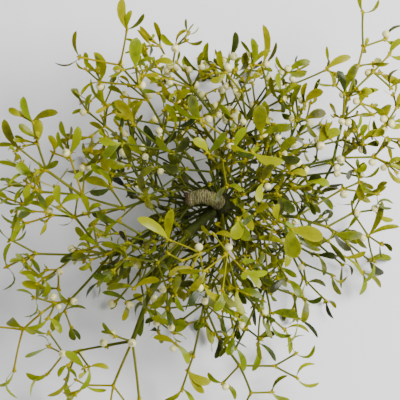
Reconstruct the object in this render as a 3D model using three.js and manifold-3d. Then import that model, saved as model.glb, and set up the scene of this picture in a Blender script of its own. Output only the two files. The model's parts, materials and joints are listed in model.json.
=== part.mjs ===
// A bunch of European mistletoe as cut from its host tree: a stub of the host's
// branch, the woody burr that grips it, the forking stems that spread from the
// burr, and the paired leaves and white berries that the stems carry.
// Millimetres, +Z up. The bunch lies on the plane Z = 0.
import * as THREE from "three";
import { mergeVertices } from "three/addons/utils/BufferGeometryUtils.js";
import Module from "manifold-3d";

const wasm = await Module();
wasm.setup();

// ---- Driving dimensions ----

const GAP = 0.3; // between pieces that touch
const BURR = { centre: [21, -5, 116], radius: 13 };
const HOST = { path: [[-14, 0, 138], [2, 4, 142], [13, 1, 139], [20, -3, 131]], radius: 7, rings: 12 };
const TWIG_RADIUS = 1.0; // of this year's shoot
const THICKENING = 0.11; // of a stem as its forks grow older
const STOUT = { stem_south_west: 2.4, stem_west: 1.3, stem_north: 1.2, stem_east: 0.6 };
const LEAF = { length: [17, 29], widthShare: [0.2, 0.3], thickness: 1.1 };
const KNUCKLE = 1.25; // how much a stem swells at its forks
const STEM_SIDES = 5;
const BUD_RADIUS = 1.8; // of the bud that joins a leaf pair of its own
const BERRY_RADIUS = [3.5, 4.4];
const FRUITING = 0.6; // share of the berries' seats that bear fruit
const LEAF_PAIR_PIECES = 20; // pairs that are pieces of their own; the rest stay on their stem
const BERRY_PIECES = 20;
const STEM_CLEARANCE = 1.2; // between the surfaces of two stems that pass
const FLOOR_CLEARANCE = 4; // of a stem's centre line above the surface
const LIFTS = [0, 5, -5, 9, -9, 13, -13, 18, -18]; // tried where a stem is in the way

// ---- The stems, fork by fork ----
// A fork is [x, y, z, number of berries seated in it, then its leaves and the forks that
// grow from it]. A shoot that ends with no leaves listed grows a pair of its own.
// A leaf is its tip, its width, how far it bows to the left, and its tilt from level.

const leaf = (x, y, z, width, bow, tilt) => ({ tip: [x, y, z], width, bow, tilt });

const STEMS = {
  stem_south_west: [-13, -34, 138, 0,
    [-50, -92, 124, 2,
      [-68, -142, 102, 1,
        [-94, -147, 86, 1,
          [-124, -153, 76, 2,
            [-138, -156, 76, 1,
              [-152, -135, 84, 1, leaf(-170, -128, 88, 6, 3, 60), leaf(-143, -112, 90, 5, -5, 70)],
              [-154, -176, 68, 1, leaf(-177, -176, 62, 7, 5, 30), leaf(-172, -200, 60, 5, -7, 70)]],
            [-136, -182, 52, 0, leaf(-130, -204, 44, 7, -3, 30), leaf(-156, -200, 46, 6, 5, 50)],
            [-112, -168, 96, 0, leaf(-92, -170, 98, 6, 3, 40), leaf(-121, -191, 94, 6, 4, 40)]]],
        [-88, -188, 74, 1,
          [-70, -214, 56, 1],
          [-116, -188, 66, 0, leaf(-95, -193, 62, 5, -3, 50), leaf(-140, -196, 60, 6, 4, 50)],
          [-94, -222, 60, 0]],
        [-62, -202, 58, 1, [-44, -234, 34], [-84, -240, 44]],
        [-84, -136, 122, 1, leaf(-97, -122, 128, 5, 2, 40), leaf(-99, -132, 120, 5, -2, 50)]],
      [-72, -101, 140, 1, leaf(-77, -120, 142, 6, 2, 20), leaf(-97, -92, 142, 6, -3, 40)],
      [-55, -110, 110, 0, leaf(-60, -137, 106, 7, -2, 20), leaf(-38, -122, 108, 7, 3, 30)]],
    [-42, -62, 166, 1,
      [-72, -57, 176, 0, leaf(-60, -68, 178, 8, 3, 20), leaf(-88, -44, 180, 7, -3, 30)],
      [-64, -86, 172, 1, leaf(-40, -79, 178, 7, 3, 30), leaf(-92, -88, 172, 7, -3, 30)],
      [-32, -88, 180, 1, leaf(-14, -98, 184, 8, 3, 15), leaf(-49, -106, 180, 8, 3, 20)]]],

  stem_west_south: [-34, -20, 98, 0,
    [-90, -55, 108, 2,
      [-103, -46, 112, 1,
        [-125, -17, 122, 1,
          [-148, -15, 126, 1,
            [-173, -23, 120, 0, leaf(-188, -42, 114, 6, -3, 30), leaf(-199, -14, 122, 5, 4, 60)],
            [-153, -12, 144, 0, leaf(-144, 4, 150, 8, 3, 10), leaf(-170, -3, 150, 6, -4, 40)]],
          [-138, -6, 140, 0, leaf(-140, 15, 148, 8, 3, 10), leaf(-119, 3, 144, 7, 4, 30)],
          [-112, -14, 134, 1, leaf(-98, -5, 140, 6, 3, 40), leaf(-118, 6, 138, 7, -2, 30)]],
        [-126, -55, 104, 1,
          [-165, -54, 102, 1,
            [-190, -40, 108, 0, leaf(-201, -12, 110, 5, 6, 70), leaf(-174, -30, 114, 5, -5, 65)],
            [-194, -67, 94, 0, leaf(-190, -43, 98, 6, 4, 50), leaf(-199, -91, 84, 5, 10, 75)]],
          [-143, -70, 94, 2,
            [-158, -79, 92, 0, leaf(-181, -74, 90, 7, -3, 40), leaf(-160, -98, 86, 7, 6, 40)],
            [-143, -89, 86, 1, leaf(-163, -98, 82, 5, -5, 60), leaf(-128, -106, 84, 6, -4, 40)]]],
        [-107, -26, 98, 0, leaf(-90, -36, 94, 7, -3, 30), leaf(-122, -40, 94, 6, 3, 40)]],
      [-130, -100, 102, 1,
        [-146, -104, 100, 2,
          [-166, -98, 100, 0, leaf(-185, -91, 100, 5, -3, 60), leaf(-178, -118, 92, 5, 9, 75)],
          [-179, -131, 84, 1,
            [-209, -128, 84, 0],
            [-189, -172, 62, 0, leaf(-186, -202, 52, 5, -10, 75), leaf(-212, -188, 56, 6, 7, 60)]],
          [-152, -118, 112, 0, leaf(-172, -128, 110, 6, 3, 40), leaf(-140, -134, 114, 7, 3, 20)]],
        [-137, -112, 84, 0, leaf(-115, -110, 82, 5, 4, 60), leaf(-149, -133, 78, 8, -3, 20)]],
      [-84, -71, 132, 1, leaf(-107, -75, 136, 8, 3, 20), leaf(-103, -88, 130, 5, -2, 60)]],
    [-60, -34, 132, 1,
      [-76, -52, 146, 1, leaf(-98, -44, 150, 7, -3, 30), leaf(-80, -76, 148, 7, 3, 30)],
      [-80, -22, 142, 0, leaf(-102, -12, 146, 8, 3, 20), leaf(-94, -38, 140, 6, -4, 50)]]],

  stem_west: [-34, 5, 122, 0,
    [-76, -8, 116, 1,
      [-117, 4, 126, 2,
        [-153, 30, 136, 2,
          [-179, 51, 146, 0, leaf(-194, 80, 152, 9, 3, 15), leaf(-202, 54, 142, 6, -3, 50)],
          [-161, 56, 152, 0, leaf(-160, 80, 156, 11, 0, 10),
            [-165, 77, 166, 0, leaf(-174, 102, 170, 8, 3, 20), leaf(-140, 86, 168, 8, 3, 20)]],
          [-165, 25, 144, 0, leaf(-181, 37, 148, 11, 2, 10), leaf(-202, 38, 138, 6, -3, 50),
            leaf(-190, 15, 142, 5, -6, 60)],
          [-146, 47, 130, 0, leaf(-151, 64, 136, 7, -3, 30), leaf(-132, 61, 130, 6, 3, 40)]],
        [-130, 45, 144, 1, leaf(-121, 73, 152, 9, -3, 15), leaf(-141, 68, 146, 6, 3, 50)],
        [-116, 34, 134, 2, leaf(-126, 22, 138, 6, 3, 40), leaf(-101, 46, 138, 6, -3, 30)],
        [-159, 8, 116, 1,
          [-178, -4, 112, 0, leaf(-202, 3, 110, 5, 3, 60), leaf(-190, -24, 106, 6, 4, 50)],
          [-174, 14, 104, 0, leaf(-196, 22, 100, 7, 2, 30), leaf(-186, -4, 98, 5, -4, 60)]]],
      [-88, 10, 130, 1, leaf(-114, 20, 134, 9, -3, 20), leaf(-84, 32, 136, 7, 3, 30)],
      [-98, -14, 92, 0]],
    [-60, 20, 128, 1,
      [-86, 26, 146, 0, leaf(-108, 36, 150, 8, 3, 15), leaf(-84, 50, 152, 7, 2, 30)],
      [-56, 44, 144, 1, leaf(-70, 64, 150, 8, 3, 20), leaf(-40, 60, 148, 6, -4, 40)]]],

  stem_west_north: [-28, 26, 104, 0,
    [-62, 50, 112, 2,
      [-95, 74, 120, 2,
        [-108, 64, 128, 0, leaf(-114, 46, 130, 6, 3, 30), leaf(-134, 66, 126, 7, 3, 40)],
        [-112, 88, 118, 1, leaf(-128, 86, 114, 5, -3, 50), leaf(-108, 106, 118, 6, 3, 50)],
        [-92, 93, 136, 0, leaf(-98, 113, 140, 7, 4, 30), leaf(-109, 121, 130, 5, 4, 60)]],
      [-84, 52, 96, 1,
        [-104, 39, 92, 0, leaf(-124, 18, 86, 6, 3, 50), leaf(-118, 58, 90, 6, 4, 50)],
        [-95, 62, 84, 0, leaf(-90, 20, 78, 8, -5, 20), leaf(-112, 78, 80, 6, -4, 40)]],
      [-74, 84, 134, 1, leaf(-87, 98, 138, 6, 2, 30), leaf(-60, 98, 138, 6, 3, 40)]],
    [-44, 30, 134, 1,
      [-70, 34, 158, 0, leaf(-94, 40, 164, 9, 3, 20), leaf(-76, 56, 162, 8, -3, 30)],
      [-40, 56, 154, 2, leaf(-54, 74, 160, 8, 3, 20), leaf(-24, 68, 160, 7, -3, 30)]]],

  stem_north_west: [-8, 40, 124, 0,
    [-37, 72, 140, 1,
      [-52, 99, 150, 1,
        [-61, 113, 156, 1,
          [-79, 133, 166, 2,
            [-72, 167, 178, 0, leaf(-76, 198, 182, 9, 3, 10), leaf(-55, 183, 184, 6, -3, 50),
              leaf(-67, 186, 186, 6, 2, 30)],
            [-118, 141, 164, 0, leaf(-122, 167, 168, 6, 4, 50), leaf(-144, 136, 156, 4, 5, 75)]],
          [-99, 117, 150, 1, leaf(-105, 146, 156, 9, -6, 20), leaf(-118, 104, 146, 5, -4, 60)],
          [-63, 130, 188, 0, leaf(-62, 159, 196, 13, 1, 5), leaf(-44, 138, 192, 6, 3, 50)],
          [-48, 134, 158, 1, leaf(-27, 135, 162, 7, 3, 30), leaf(-55, 156, 160, 7, 3, 30)]],
        [-76, 103, 134, 1, leaf(-92, 112, 130, 6, -3, 40), leaf(-88, 88, 128, 6, 3, 40)]],
      [-24, 94, 160, 2, leaf(-10, 108, 168, 7, 3, 20), leaf(-36, 114, 166, 7, 3, 30)]],
    [-36, 50, 164, 1,
      [-76, 56, 180, 0, leaf(-99, 61, 184, 8, 3, 20), leaf(-94, 40, 182, 9, -3, 15)],
      [-65, 74, 188, 0, leaf(-84, 97, 192, 10, -3, 10), leaf(-56, 98, 190, 6, 3, 40)],
      [-24, 72, 184, 0, leaf(-34, 94, 190, 7, -3, 30), leaf(-4, 82, 188, 6, -3, 40)]]],

  stem_north: [16, 42, 108, 0,
    [14, 84, 112, 2,
      [-8, 112, 114, 3,
        [-28, 130, 116, 1,
          [-40, 154, 118, 0, leaf(-60, 174, 120, 6, 2, 30), leaf(-46, 178, 122, 6, -2, 40)],
          [-24, 154, 122, 1, leaf(-38, 166, 124, 7, 3, 30), leaf(-12, 170, 122, 5, 4, 50)]],
        [0, 128, 126, 2, leaf(4, 148, 130, 6, 3, 40), leaf(-16, 144, 130, 6, 3, 40)]],
      [26, 112, 120, 3,
        [29, 141, 124, 2, leaf(35, 168, 126, 7, -3, 20), leaf(15, 151, 122, 5, 4, 50)],
        [46, 130, 118, 1, leaf(48, 148, 122, 9, 2, 10), leaf(62, 140, 112, 5, -3, 60)],
        [12, 132, 110, 1, leaf(8, 158, 110, 6, 4, 30), leaf(-4, 142, 106, 5, -4, 60)]]],
    [34, 66, 84, 1,
      [20, 96, 74, 1],
      [52, 92, 68, 1, [44, 122, 56, 1], [74, 112, 52, 0]]]],

  stem_north_north_east: [32, 36, 126, 0,
    [46, 80, 138, 2,
      [41, 108, 152, 3,
        [52, 132, 158, 1, leaf(51, 160, 160, 7, -3, 20), leaf(70, 148, 158, 6, 3, 40)],
        [26, 126, 162, 2, leaf(20, 148, 164, 7, 3, 30), leaf(10, 118, 166, 7, 3, 30)]],
      [67, 107, 138, 2,
        [87, 127, 134, 2, leaf(110, 138, 132, 7, 3, 20), leaf(106, 128, 128, 7, -3, 30),
          leaf(76, 143, 136, 5, 3, 50)],
        [62, 134, 128, 1, leaf(63, 175, 126, 7, -5, 20), leaf(76, 158, 122, 5, -4, 50)]],
      [78, 98, 156, 1, leaf(98, 114, 162, 6, 3, 30), leaf(70, 122, 160, 6, 3, 40)]],
    [30, 58, 172, 2,
      [60, 64, 190, 1, leaf(60, 93, 200, 14, 2, 5), leaf(90, 70, 192, 9, 3, 20)],
      [2, 78, 188, 1, leaf(-8, 103, 194, 10, 3, 5), leaf(-26, 95, 192, 6, 3, 40)]]],

  stem_north_east: [62, 25, 106, 0,
    [84, 48, 132, 1,
      [98, 80, 142, 2,
        [104, 96, 152, 1, leaf(122, 107, 156, 9, 3, 10), leaf(106, 116, 158, 6, 3, 40)],
        [92, 88, 160, 0, leaf(100, 114, 166, 6, 3, 30), leaf(78, 104, 166, 6, 3, 30)],
        [106, 80, 128, 1, leaf(126, 86, 124, 10, 3, 10), leaf(118, 62, 126, 6, -3, 40)],
        [94, 116, 128, 1, [126, 130, 120, 1, leaf(151, 143, 118, 8, 3, 15), leaf(134, 114, 112, 6, 3, 50)]]],
      [116, 54, 138, 1,
        [118, 56, 160, 1, leaf(139, 68, 164, 10, 3, 10), leaf(130, 76, 164, 7, 3, 20)],
        [142, 60, 128, 1, leaf(160, 74, 126, 6, 3, 40), leaf(158, 52, 120, 5, -3, 50)]]],
    [104, 24, 106, 1,
      [136, 28, 96, 1,
        [160, 24, 88, 1, leaf(181, 34, 86, 5, -5, 60), leaf(176, 8, 82, 6, -5, 50)],
        [146, 46, 84, 0]],
      [118, 4, 88, 1, leaf(134, -10, 82, 7, 3, 30), leaf(140, 12, 84, 6, 3, 40)]]],

  stem_east_north: [72, 18, 132, 0,
    [102, 34, 142, 3,
      [141, 42, 138, 2,
        [157, 55, 140, 2,
          [185, 75, 136, 3, leaf(202, 76, 136, 6, -3, 30), leaf(190, 94, 138, 6, 3, 40),
            [196, 92, 128, 0]],
          [162, 62, 156, 0, leaf(166, 74, 160, 7, 3, 20), leaf(180, 64, 160, 8, 3, 20)]],
        [174, 43, 126, 2,
          [186, 62, 118, 1, leaf(196, 52, 112, 5, -6, 65), leaf(174, 80, 116, 6, 4, 50)],
          [187, 36, 118, 1, leaf(204, 40, 116, 6, 3, 40), leaf(203, 17, 112, 6, -4, 50)]],
        [154, 30, 150, 1, leaf(164, 36, 156, 7, -3, 20), leaf(147, 20, 154, 6, -3, 30)]],
      [106, 18, 158, 0, leaf(128, 14, 162, 8, 3, 20), leaf(120, 22, 164, 6, 3, 30)]]],

  stem_east: [58, -13, 112, 0,
    [96, -17, 118, 1,
      [118, 10, 132, 1,
        [131, 34, 156, 1,
          [141, 80, 160, 2,
            [146, 102, 158, 1,
              [172, 127, 146, 1,
                [188, 144, 138, 1, leaf(203, 160, 134, 7, 3, 30), leaf(206, 144, 132, 6, -3, 40)],
                [190, 112, 134, 1, leaf(198, 130, 134, 5, 6, 60), leaf(206, 118, 128, 6, 3, 40)]],
              [157, 133, 150, 1,
                [162, 152, 146, 2,
                  [162, 186, 136, 0, leaf(162, 212, 132, 6, 3, 40), leaf(178, 200, 130, 5, -5, 60)],
                  [184, 160, 132, 1, leaf(202, 174, 128, 5, 4, 60), leaf(200, 158, 126, 6, -3, 40)]]]],
            [142, 105, 176, 0, leaf(135, 127, 182, 7, -2, 10), leaf(155, 134, 180, 8, 2, 10)],
            [160, 96, 142, 1, leaf(167, 112, 140, 6, 3, 30), leaf(178, 110, 136, 6, 4, 40)]]]],
      [143, 11, 108, 2,
        [178, 6, 94, 1, leaf(189, 18, 92, 6, 3, 30), leaf(194, -8, 86, 5, -7, 65)],
        [160, 18, 96, 0, leaf(172, -2, 98, 7, -6, 30), leaf(166, 38, 96, 6, 3, 40)]],
      [128, -27, 100, 1,
        [154, -13, 94, 2,
          [170, -36, 78, 1, leaf(184, -1, 84, 7, -3, 20), leaf(202, -27, 76, 6, 3, 40),
            [177, -62, 52, 0, leaf(196, -60, 44, 6, 3, 40), leaf(168, -84, 42, 6, 4, 50)]],
          [176, -10, 80, 1, leaf(196, -4, 74, 5, 7, 65), leaf(196, -20, 72, 6, -4, 40)]],
        [134, -33, 112, 0, leaf(163, -34, 112, 9, -2, 10), leaf(152, -50, 106, 7, -3, 30)],
        [150, -44, 66, 1,
          [174, -62, 26, 1, leaf(197, -62, 4, 7, 4, 30), leaf(190, -76, 1, 8, -3, 10)],
          [166, -74, 40, 0, leaf(164, -98, 22, 6, 4, 40), leaf(186, -90, 24, 6, 3, 50)]]]],
    [84, -40, 100, 1,
      [112, -54, 92, 1,
        [144, -57, 80, 2, leaf(165, -77, 74, 5, 3, 50), leaf(168, -52, 74, 6, -3, 40)],
        [118, -56, 108, 0, leaf(137, -58, 112, 7, 2, 20), leaf(124, -76, 110, 6, 3, 40)]],
      [104, -64, 78, 1,
        [134, -76, 66, 0, leaf(150, -77, 62, 5, -7, 60), leaf(144, -96, 58, 6, -3, 40)],
        [108, -84, 64, 0, leaf(112, -108, 56, 5, -6, 60), leaf(128, -88, 60, 6, 4, 50)]]]],

  stem_south_east: [42, -38, 126, 0,
    [64, -84, 130, 1,
      [93, -94, 130, 1,
        [97, -118, 122, 0, leaf(118, -138, 116, 5, 3, 50), leaf(86, -147, 118, 4, 4, 70)],
        [104, -98, 142, 0, leaf(121, -96, 146, 6, -4, 40), leaf(102, -122, 144, 8, 2, 20)]],
      [70, -112, 136, 1, leaf(98, -117, 140, 9, 3, 10), leaf(72, -138, 138, 6, -4, 40),
        [71, -122, 118, 0, leaf(92, -135, 112, 6, -7, 50), leaf(56, -140, 112, 6, 3, 40)]],
      [46, -128, 122, 1,
        [60, -139, 114, 0, leaf(75, -135, 114, 7, 3, 20), leaf(62, -160, 106, 5, -3, 40)],
        [36, -148, 108, 1, leaf(44, -172, 100, 7, 3, 30), leaf(20, -158, 104, 6, -4, 40)]]],
    [74, -56, 152, 1,
      [86, -78, 164, 0, leaf(98, -97, 168, 8, 3, 20), leaf(70, -92, 170, 8, -3, 20)],
      [84, -44, 172, 0, leaf(58, -38, 176, 7, -3, 30), leaf(84, -66, 174, 7, 3, 30)]]],

  stem_south: [20, -44, 100, 0,
    [4, -104, 104, 2,
      [-7, -158, 84, 2,
        [-12, -172, 74, 0, leaf(11, -184, 72, 10, -4, 10), leaf(4, -196, 68, 8, -2, 20)],
        [-18, -191, 62, 0, leaf(-36, -204, 54, 6, 3, 40), leaf(-6, -214, 50, 6, 3, 40)],
        [-24, -146, 88, 1, leaf(-47, -139, 90, 7, -3, 30), leaf(-12, -166, 84, 7, 3, 30)]],
      [18, -138, 92, 2, leaf(15, -160, 86, 7, 3, 30), leaf(34, -152, 90, 6, 3, 40),
        [40, -168, 66, 1,
          [76, -169, 56, 1,
            [97, -157, 52, 1, leaf(107, -138, 52, 5, 5, 60), leaf(117, -148, 48, 6, -4, 40)],
            [98, -181, 46, 0, leaf(118, -168, 42, 6, 3, 40), leaf(122, -187, 38, 6, -3, 40)]],
          [52, -197, 42, 1,
            [73, -197, 34, 0, leaf(90, -180, 32, 5, 4, 50), leaf(92, -205, 26, 6, -3, 30)],
            [40, -222, 26, 0]],
          [24, -186, 50, 1, leaf(8, -176, 48, 6, 3, 40), leaf(36, -204, 44, 6, 3, 40)]]],
      [-28, -128, 120, 1, leaf(-14, -124, 124, 7, 3, 20), leaf(-48, -118, 122, 8, -3, 30)]],
    [38, -88, 84, 1,
      [24, -112, 76, 1, leaf(52, -127, 72, 8, 3, 20), leaf(28, -140, 66, 6, -3, 40)],
      [62, -112, 62, 1,
        [86, -132, 44, 1, leaf(112, -136, 34, 6, 3, 40), leaf(92, -158, 30, 6, 3, 40)],
        [60, -146, 36, 1, leaf(54, -176, 20, 7, 3, 30), leaf(78, -166, 18, 6, 3, 50)]]]],

  stem_crown_south: [26, -40, 150, 0,
    [0, -52, 186, 1,
      [-30, -39, 204, 0, leaf(-61, -18, 214, 10, -3, 5), leaf(-27, -9, 214, 9, 2, 10)],
      [4, -84, 196, 1, leaf(-10, -104, 202, 8, -2, 15), leaf(24, -98, 200, 7, -3, 30)],
      [-8, -66, 198, 0, leaf(-30, -74, 206, 7, -3, 20), leaf(-4, -88, 206, 7, 3, 20)]],
    [27, -52, 190, 1,
      [42, -68, 204, 1, leaf(58, -86, 210, 7, 3, 20), leaf(66, -70, 208, 7, -3, 30)],
      [36, -88, 186, 1, leaf(44, -112, 188, 8, -3, 20), leaf(61, -96, 186, 7, 3, 30)],
      [6, -68, 204, 0, leaf(-21, -69, 208, 6, 1, 40), leaf(-10, -88, 206, 7, 2, 20)],
      [22, -88, 202, 0, leaf(14, -108, 206, 9, 3, 10), leaf(36, -104, 204, 7, -2, 30)],
      [14, -34, 214, 0, leaf(2, -24, 222, 5, 3, 40), leaf(30, -36, 220, 6, 3, 40)]]],

  stem_crown_east: [54, 2, 154, 0,
    [58, 0, 192, 1,
      [76, -20, 206, 0, leaf(77, -4, 212, 7, 3, 20),
        [88, -28, 214, 0, leaf(119, -38, 220, 14, 2, 5), leaf(94, -56, 218, 17, -2, 5)]],
      [38, -18, 206, 0, leaf(31, -37, 212, 13, 3, 5), leaf(48, -39, 212, 11, -2, 10)],
      [61, 16, 210, 0, leaf(58, -2, 218, 8, -2, 20), leaf(72, 34, 218, 8, 3, 20)],
      [76, 4, 200, 0, leaf(77, -15, 204, 8, 2, 10), leaf(93, -11, 202, 11, -2, 5)]],
    [68, 34, 188, 1,
      [52, 46, 204, 1, leaf(30, 54, 208, 7, 3, 40), leaf(81, 38, 210, 10, -4, 15)],
      [78, 44, 202, 0, leaf(94, 60, 208, 9, 3, 10), leaf(98, 40, 206, 9, -3, 10)],
      [88, 26, 196, 1, leaf(104, 24, 200, 7, 3, 30), leaf(90, 46, 202, 7, 3, 20)]]],

  stem_crown_north: [10, 28, 146, 0,
    [-14, 30, 178, 2,
      [-40, 32, 188, 0, leaf(-58, 22, 190, 7, -3, 20), leaf(-20, 27, 192, 8, 2, 15)],
      [-26, 46, 198, 0, leaf(-12, 62, 204, 9, -3, 10), leaf(-42, 62, 204, 7, 3, 30)],
      [-50, 4, 190, 0, leaf(-58, 26, 196, 8, 3, 10),
        [-86, 13, 198, 0, leaf(-108, 8, 200, 7, 3, 30), leaf(-100, 30, 202, 6, -3, 40)]]],
    [22, 40, 188, 2,
      [8, 46, 210, 0, leaf(-7, 58, 218, 9, -3, 10), leaf(24, 66, 218, 8, -2, 20)],
      [34, 50, 206, 1, leaf(46, 70, 212, 8, 3, 15), leaf(52, 44, 212, 6, -3, 40)],
      [26, 14, 212, 0, leaf(16, -2, 222, 6, -2, 20), leaf(40, 8, 220, 6, 3, 40)]]],

  stem_under_west: [-10, -14, 74, 0,
    [-48, -34, 54, 0,
      [-86, -52, 36, 1, [-120, -58, 16, 0], [-104, -84, 18, 0]],
      [-62, -74, 32, 0, [-86, -104, 12, 1], [-56, -108, 14, 0]]],
    [-44, 14, 52, 0,
      [-82, 26, 34, 1, [-114, 34, 15, 0], [-96, 58, 22, 0]],
      [-52, 50, 30, 0, [-70, 84, 14, 0], [-34, 82, 18, 0]]]],

  stem_under_north: [22, 24, 74, 0,
    [4, 62, 56, 0,
      [-16, 94, 40, 1, [-40, 118, 20, 0], [0, 126, 18, 0]],
      [30, 94, 40, 1, [50, 124, 16, 0], [22, 128, 22, 0]]],
    [62, 44, 58, 0,
      [94, 62, 40, 1, [124, 78, 16, 0], [92, 96, 20, 0]],
      [100, 30, 36, 0, [132, 38, 18, 0]]]],

  stem_under_east: [52, -24, 76, 0,
    [88, -44, 50, 0,
      [122, -46, 32, 1, [152, -30, 12, 0], [146, -66, 14, 1]],
      [106, -80, 30, 0, [130, -104, 10, 0], [96, -112, 14, 0]]],
    [48, -66, 52, 0,
      [26, -96, 30, 1, [6, -122, 12, 0], [34, -130, 12, 0]],
      [72, -96, 26, 0]]],
};

// ---- Small tools ----

const point = (p) => new THREE.Vector3(p[0], p[1], p[2]);
const radians = (a) => (a * Math.PI) / 180;
const UP = new THREE.Vector3(0, 0, 1);

// Evenly spread numbers that are the same on every run (mulberry32).
function dice(seed) {
  let state = seed | 0;
  return (low, high) => {
    state = (state + 0x6d2b79f5) | 0;
    let t = Math.imul(state ^ (state >>> 15), 1 | state);
    t = (t + Math.imul(t ^ (t >>> 7), 61 | t)) ^ t;
    return low + ((high - low) * ((t ^ (t >>> 14)) >>> 0)) / 4294967296;
  };
}

// The shortest distance between segments a-b and c-d.
function segmentGap(a, b, c, d) {
  const u = b.clone().sub(a);
  const v = d.clone().sub(c);
  const w = a.clone().sub(c);
  const uu = u.dot(u);
  const uv = u.dot(v);
  const vv = v.dot(v);
  const clamp = (x) => Math.min(1, Math.max(0, x));
  const spread = uu * vv - uv * uv;
  const s = spread > 1e-6 ? clamp((uv * v.dot(w) - vv * u.dot(w)) / spread) : 0;
  const t = clamp((uv * s + v.dot(w)) / vv);
  const best = clamp((uv * t - u.dot(w)) / uu);
  return w.addScaledVector(u, best).addScaledVector(v, -t).length();
}

// A level direction at right angles to axis.
function sideways(axis) {
  const side = new THREE.Vector3(axis.y, -axis.x, 0);
  return side.length() > 0.01 ? side.normalize() : new THREE.Vector3(1, 0, 0);
}

// The direction at right angles to axis that lies at angle round it.
function around(axis, angle) {
  const side = sideways(axis);
  const up = side.clone().cross(axis);
  return side.multiplyScalar(Math.cos(angle)).addScaledVector(up, Math.sin(angle));
}

// Axis tipped by angle towards outward, which is at right angles to it.
function tipped(axis, outward, angle) {
  return axis.clone().multiplyScalar(Math.cos(angle)).addScaledVector(outward, Math.sin(angle));
}

// ---- Stems ----
// An internode is one straight stretch of stem between two forks.

const internodes = [];
const hostPath = HOST.path.map(point);
const burrCentre = point(BURR.centre);

function addInternode(from, to, parent, stem, radius) {
  const direction = to.clone().sub(from).normalize();
  const made = { from, to, parent, stem, radius, direction, children: [], leaves: [], berries: 0 };
  made.index = internodes.length;
  internodes.push(made);
  if (parent) parent.children.push(made);
  return made;
}

// Every fork is a year's growth, and a stem thickens with each year.
function ageOf(fork) {
  const ages = fork.filter(Array.isArray).map((child) => 1 + ageOf(child));
  return Math.max(0, ...ages);
}

// The distance of segment a-b from the middle of the host's branch.
function hostGap(a, b) {
  return Math.min(...[0, 1, 2].map((i) => segmentGap(a, b, hostPath[i], hostPath[i + 1])));
}

// Whether a stem from a to b passes clear of the host's branch and of the other stems.
function clearOfStems(a, b, radius, ignored) {
  if (hostGap(a, b) < radius + HOST.radius + STEM_CLEARANCE) return false;
  return internodes.every((other) =>
    ignored(other) || segmentGap(a, b, other.from, other.to) > radius + other.radius + STEM_CLEARANCE);
}

// Grows a fork and all it carries, a little higher or lower where another stem is in the way.
function growFork(fork, from, parent, stem) {
  const radius = TWIG_RADIUS + THICKENING * (STOUT[stem] ?? 1) * Math.pow(ageOf(fork), 1.4);
  const wanted = point(fork);
  const other = (internode) => internode.stem === stem;
  let to = wanted;
  for (let i = 0; i < LIFTS.length; i++) {
    const tried = wanted.clone().setZ(Math.max(FLOOR_CLEARANCE, wanted.z + LIFTS[i]));
    if (!clearOfStems(from, tried, radius, other)) continue;
    to = tried;
    break;
  }
  const made = addInternode(from, to, parent, stem, radius);
  made.berries = fork[3];
  made.lift = to.z - wanted.z;
  for (const item of fork.slice(4)) {
    if (Array.isArray(item)) growFork(item, to, made, stem);
    else made.leaves.push(item);
  }
}

for (const [stem, fork] of Object.entries(STEMS)) {
  const heading = point(fork).sub(burrCentre).normalize();
  growFork(fork, burrCentre.clone().addScaledVector(heading, BURR.radius + GAP), null, stem);
}

// ---- Berries ----

const berries = [];

// Seats a berry in the fork at the end of internode, or returns null where there is no room.
function seatBerry(internode, roll) {
  const radius = roll(BERRY_RADIUS[0], BERRY_RADIUS[1]);
  const outward = around(internode.direction, roll(0, 2 * Math.PI));
  const direction = tipped(internode.direction, outward, radians(roll(30, 115)));
  const knuckle = internode.radius * 1.2 + radius + GAP;
  let reach = knuckle;
  const arms = [{ direction: internode.direction.clone().negate(), radius: internode.radius }];
  for (const arm of [...arms, ...internode.children]) {
    const cos = arm.direction.dot(direction);
    if (cos > 0) reach = Math.max(reach, (radius + arm.radius + GAP) / Math.sqrt(1.0001 - cos * cos));
  }
  const centre = internode.to.clone().addScaledVector(direction, reach);
  if (reach > knuckle + 0.6 || centre.z < radius + 1) return null;
  const near = centre.clone().addScaledVector(direction, 0.01);
  const clear = internodes.every((other) =>
    other === internode || other.parent === internode ||
    segmentGap(other.from, other.to, centre, near) > radius + other.radius + 0.6);
  const apart = berries.every((other) => other.centre.distanceTo(centre) > other.radius + radius + 0.4);
  const offHost = hostGap(centre, near) > HOST.radius + radius + 0.6;
  return clear && apart && offHost ? { internode, centre, direction, radius } : null;
}

function growBerries() {
  for (const internode of internodes) {
    const roll = dice(9000 + internode.index);
    let seated = 0;
    for (let tries = 0; tries < 16 && seated < internode.berries; tries++) {
      const berry = seatBerry(internode, roll);
      if (!berry) continue;
      if (roll(0, 1) < FRUITING) berries.push(berry);
      seated += 1;
    }
  }
}

// ---- Leaves ----
// A leaf follows a curve from base to tip, drawn towards control on the way. Across is the
// direction of its width at the base, and twist turns that direction on the way to the tip.

const leaves = [];

// The point on the leaf's midrib at s (0 at its foot, 1 at its tip) and its directions there.
function leafAt(leaf, s) {
  const { base, control, tip } = leaf;
  const midrib = base.clone().multiplyScalar((1 - s) * (1 - s))
    .addScaledVector(control, 2 * s * (1 - s)).addScaledVector(tip, s * s);
  const heading = control.clone().sub(base).multiplyScalar(1 - s)
    .addScaledVector(tip.clone().sub(control), s).normalize();
  const across = leaf.across.clone().applyAxisAngle(heading, leaf.twist * s);
  across.addScaledVector(heading, -across.dot(heading)).normalize();
  return { midrib, heading, across, facing: across.clone().cross(heading) };
}

function addLeaf(internode, base, control, tip, across, width, twist) {
  control.z = Math.max(control.z, LEAF.thickness);
  if (tip.z < LEAF.thickness) tip.z = 0;
  const leaf = { internode, base, control, tip, across, width, twist };
  leaf.points = [0.25, 0.6, 1].map((s) => leafAt(leaf, s).midrib);
  return leaf;
}

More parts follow.
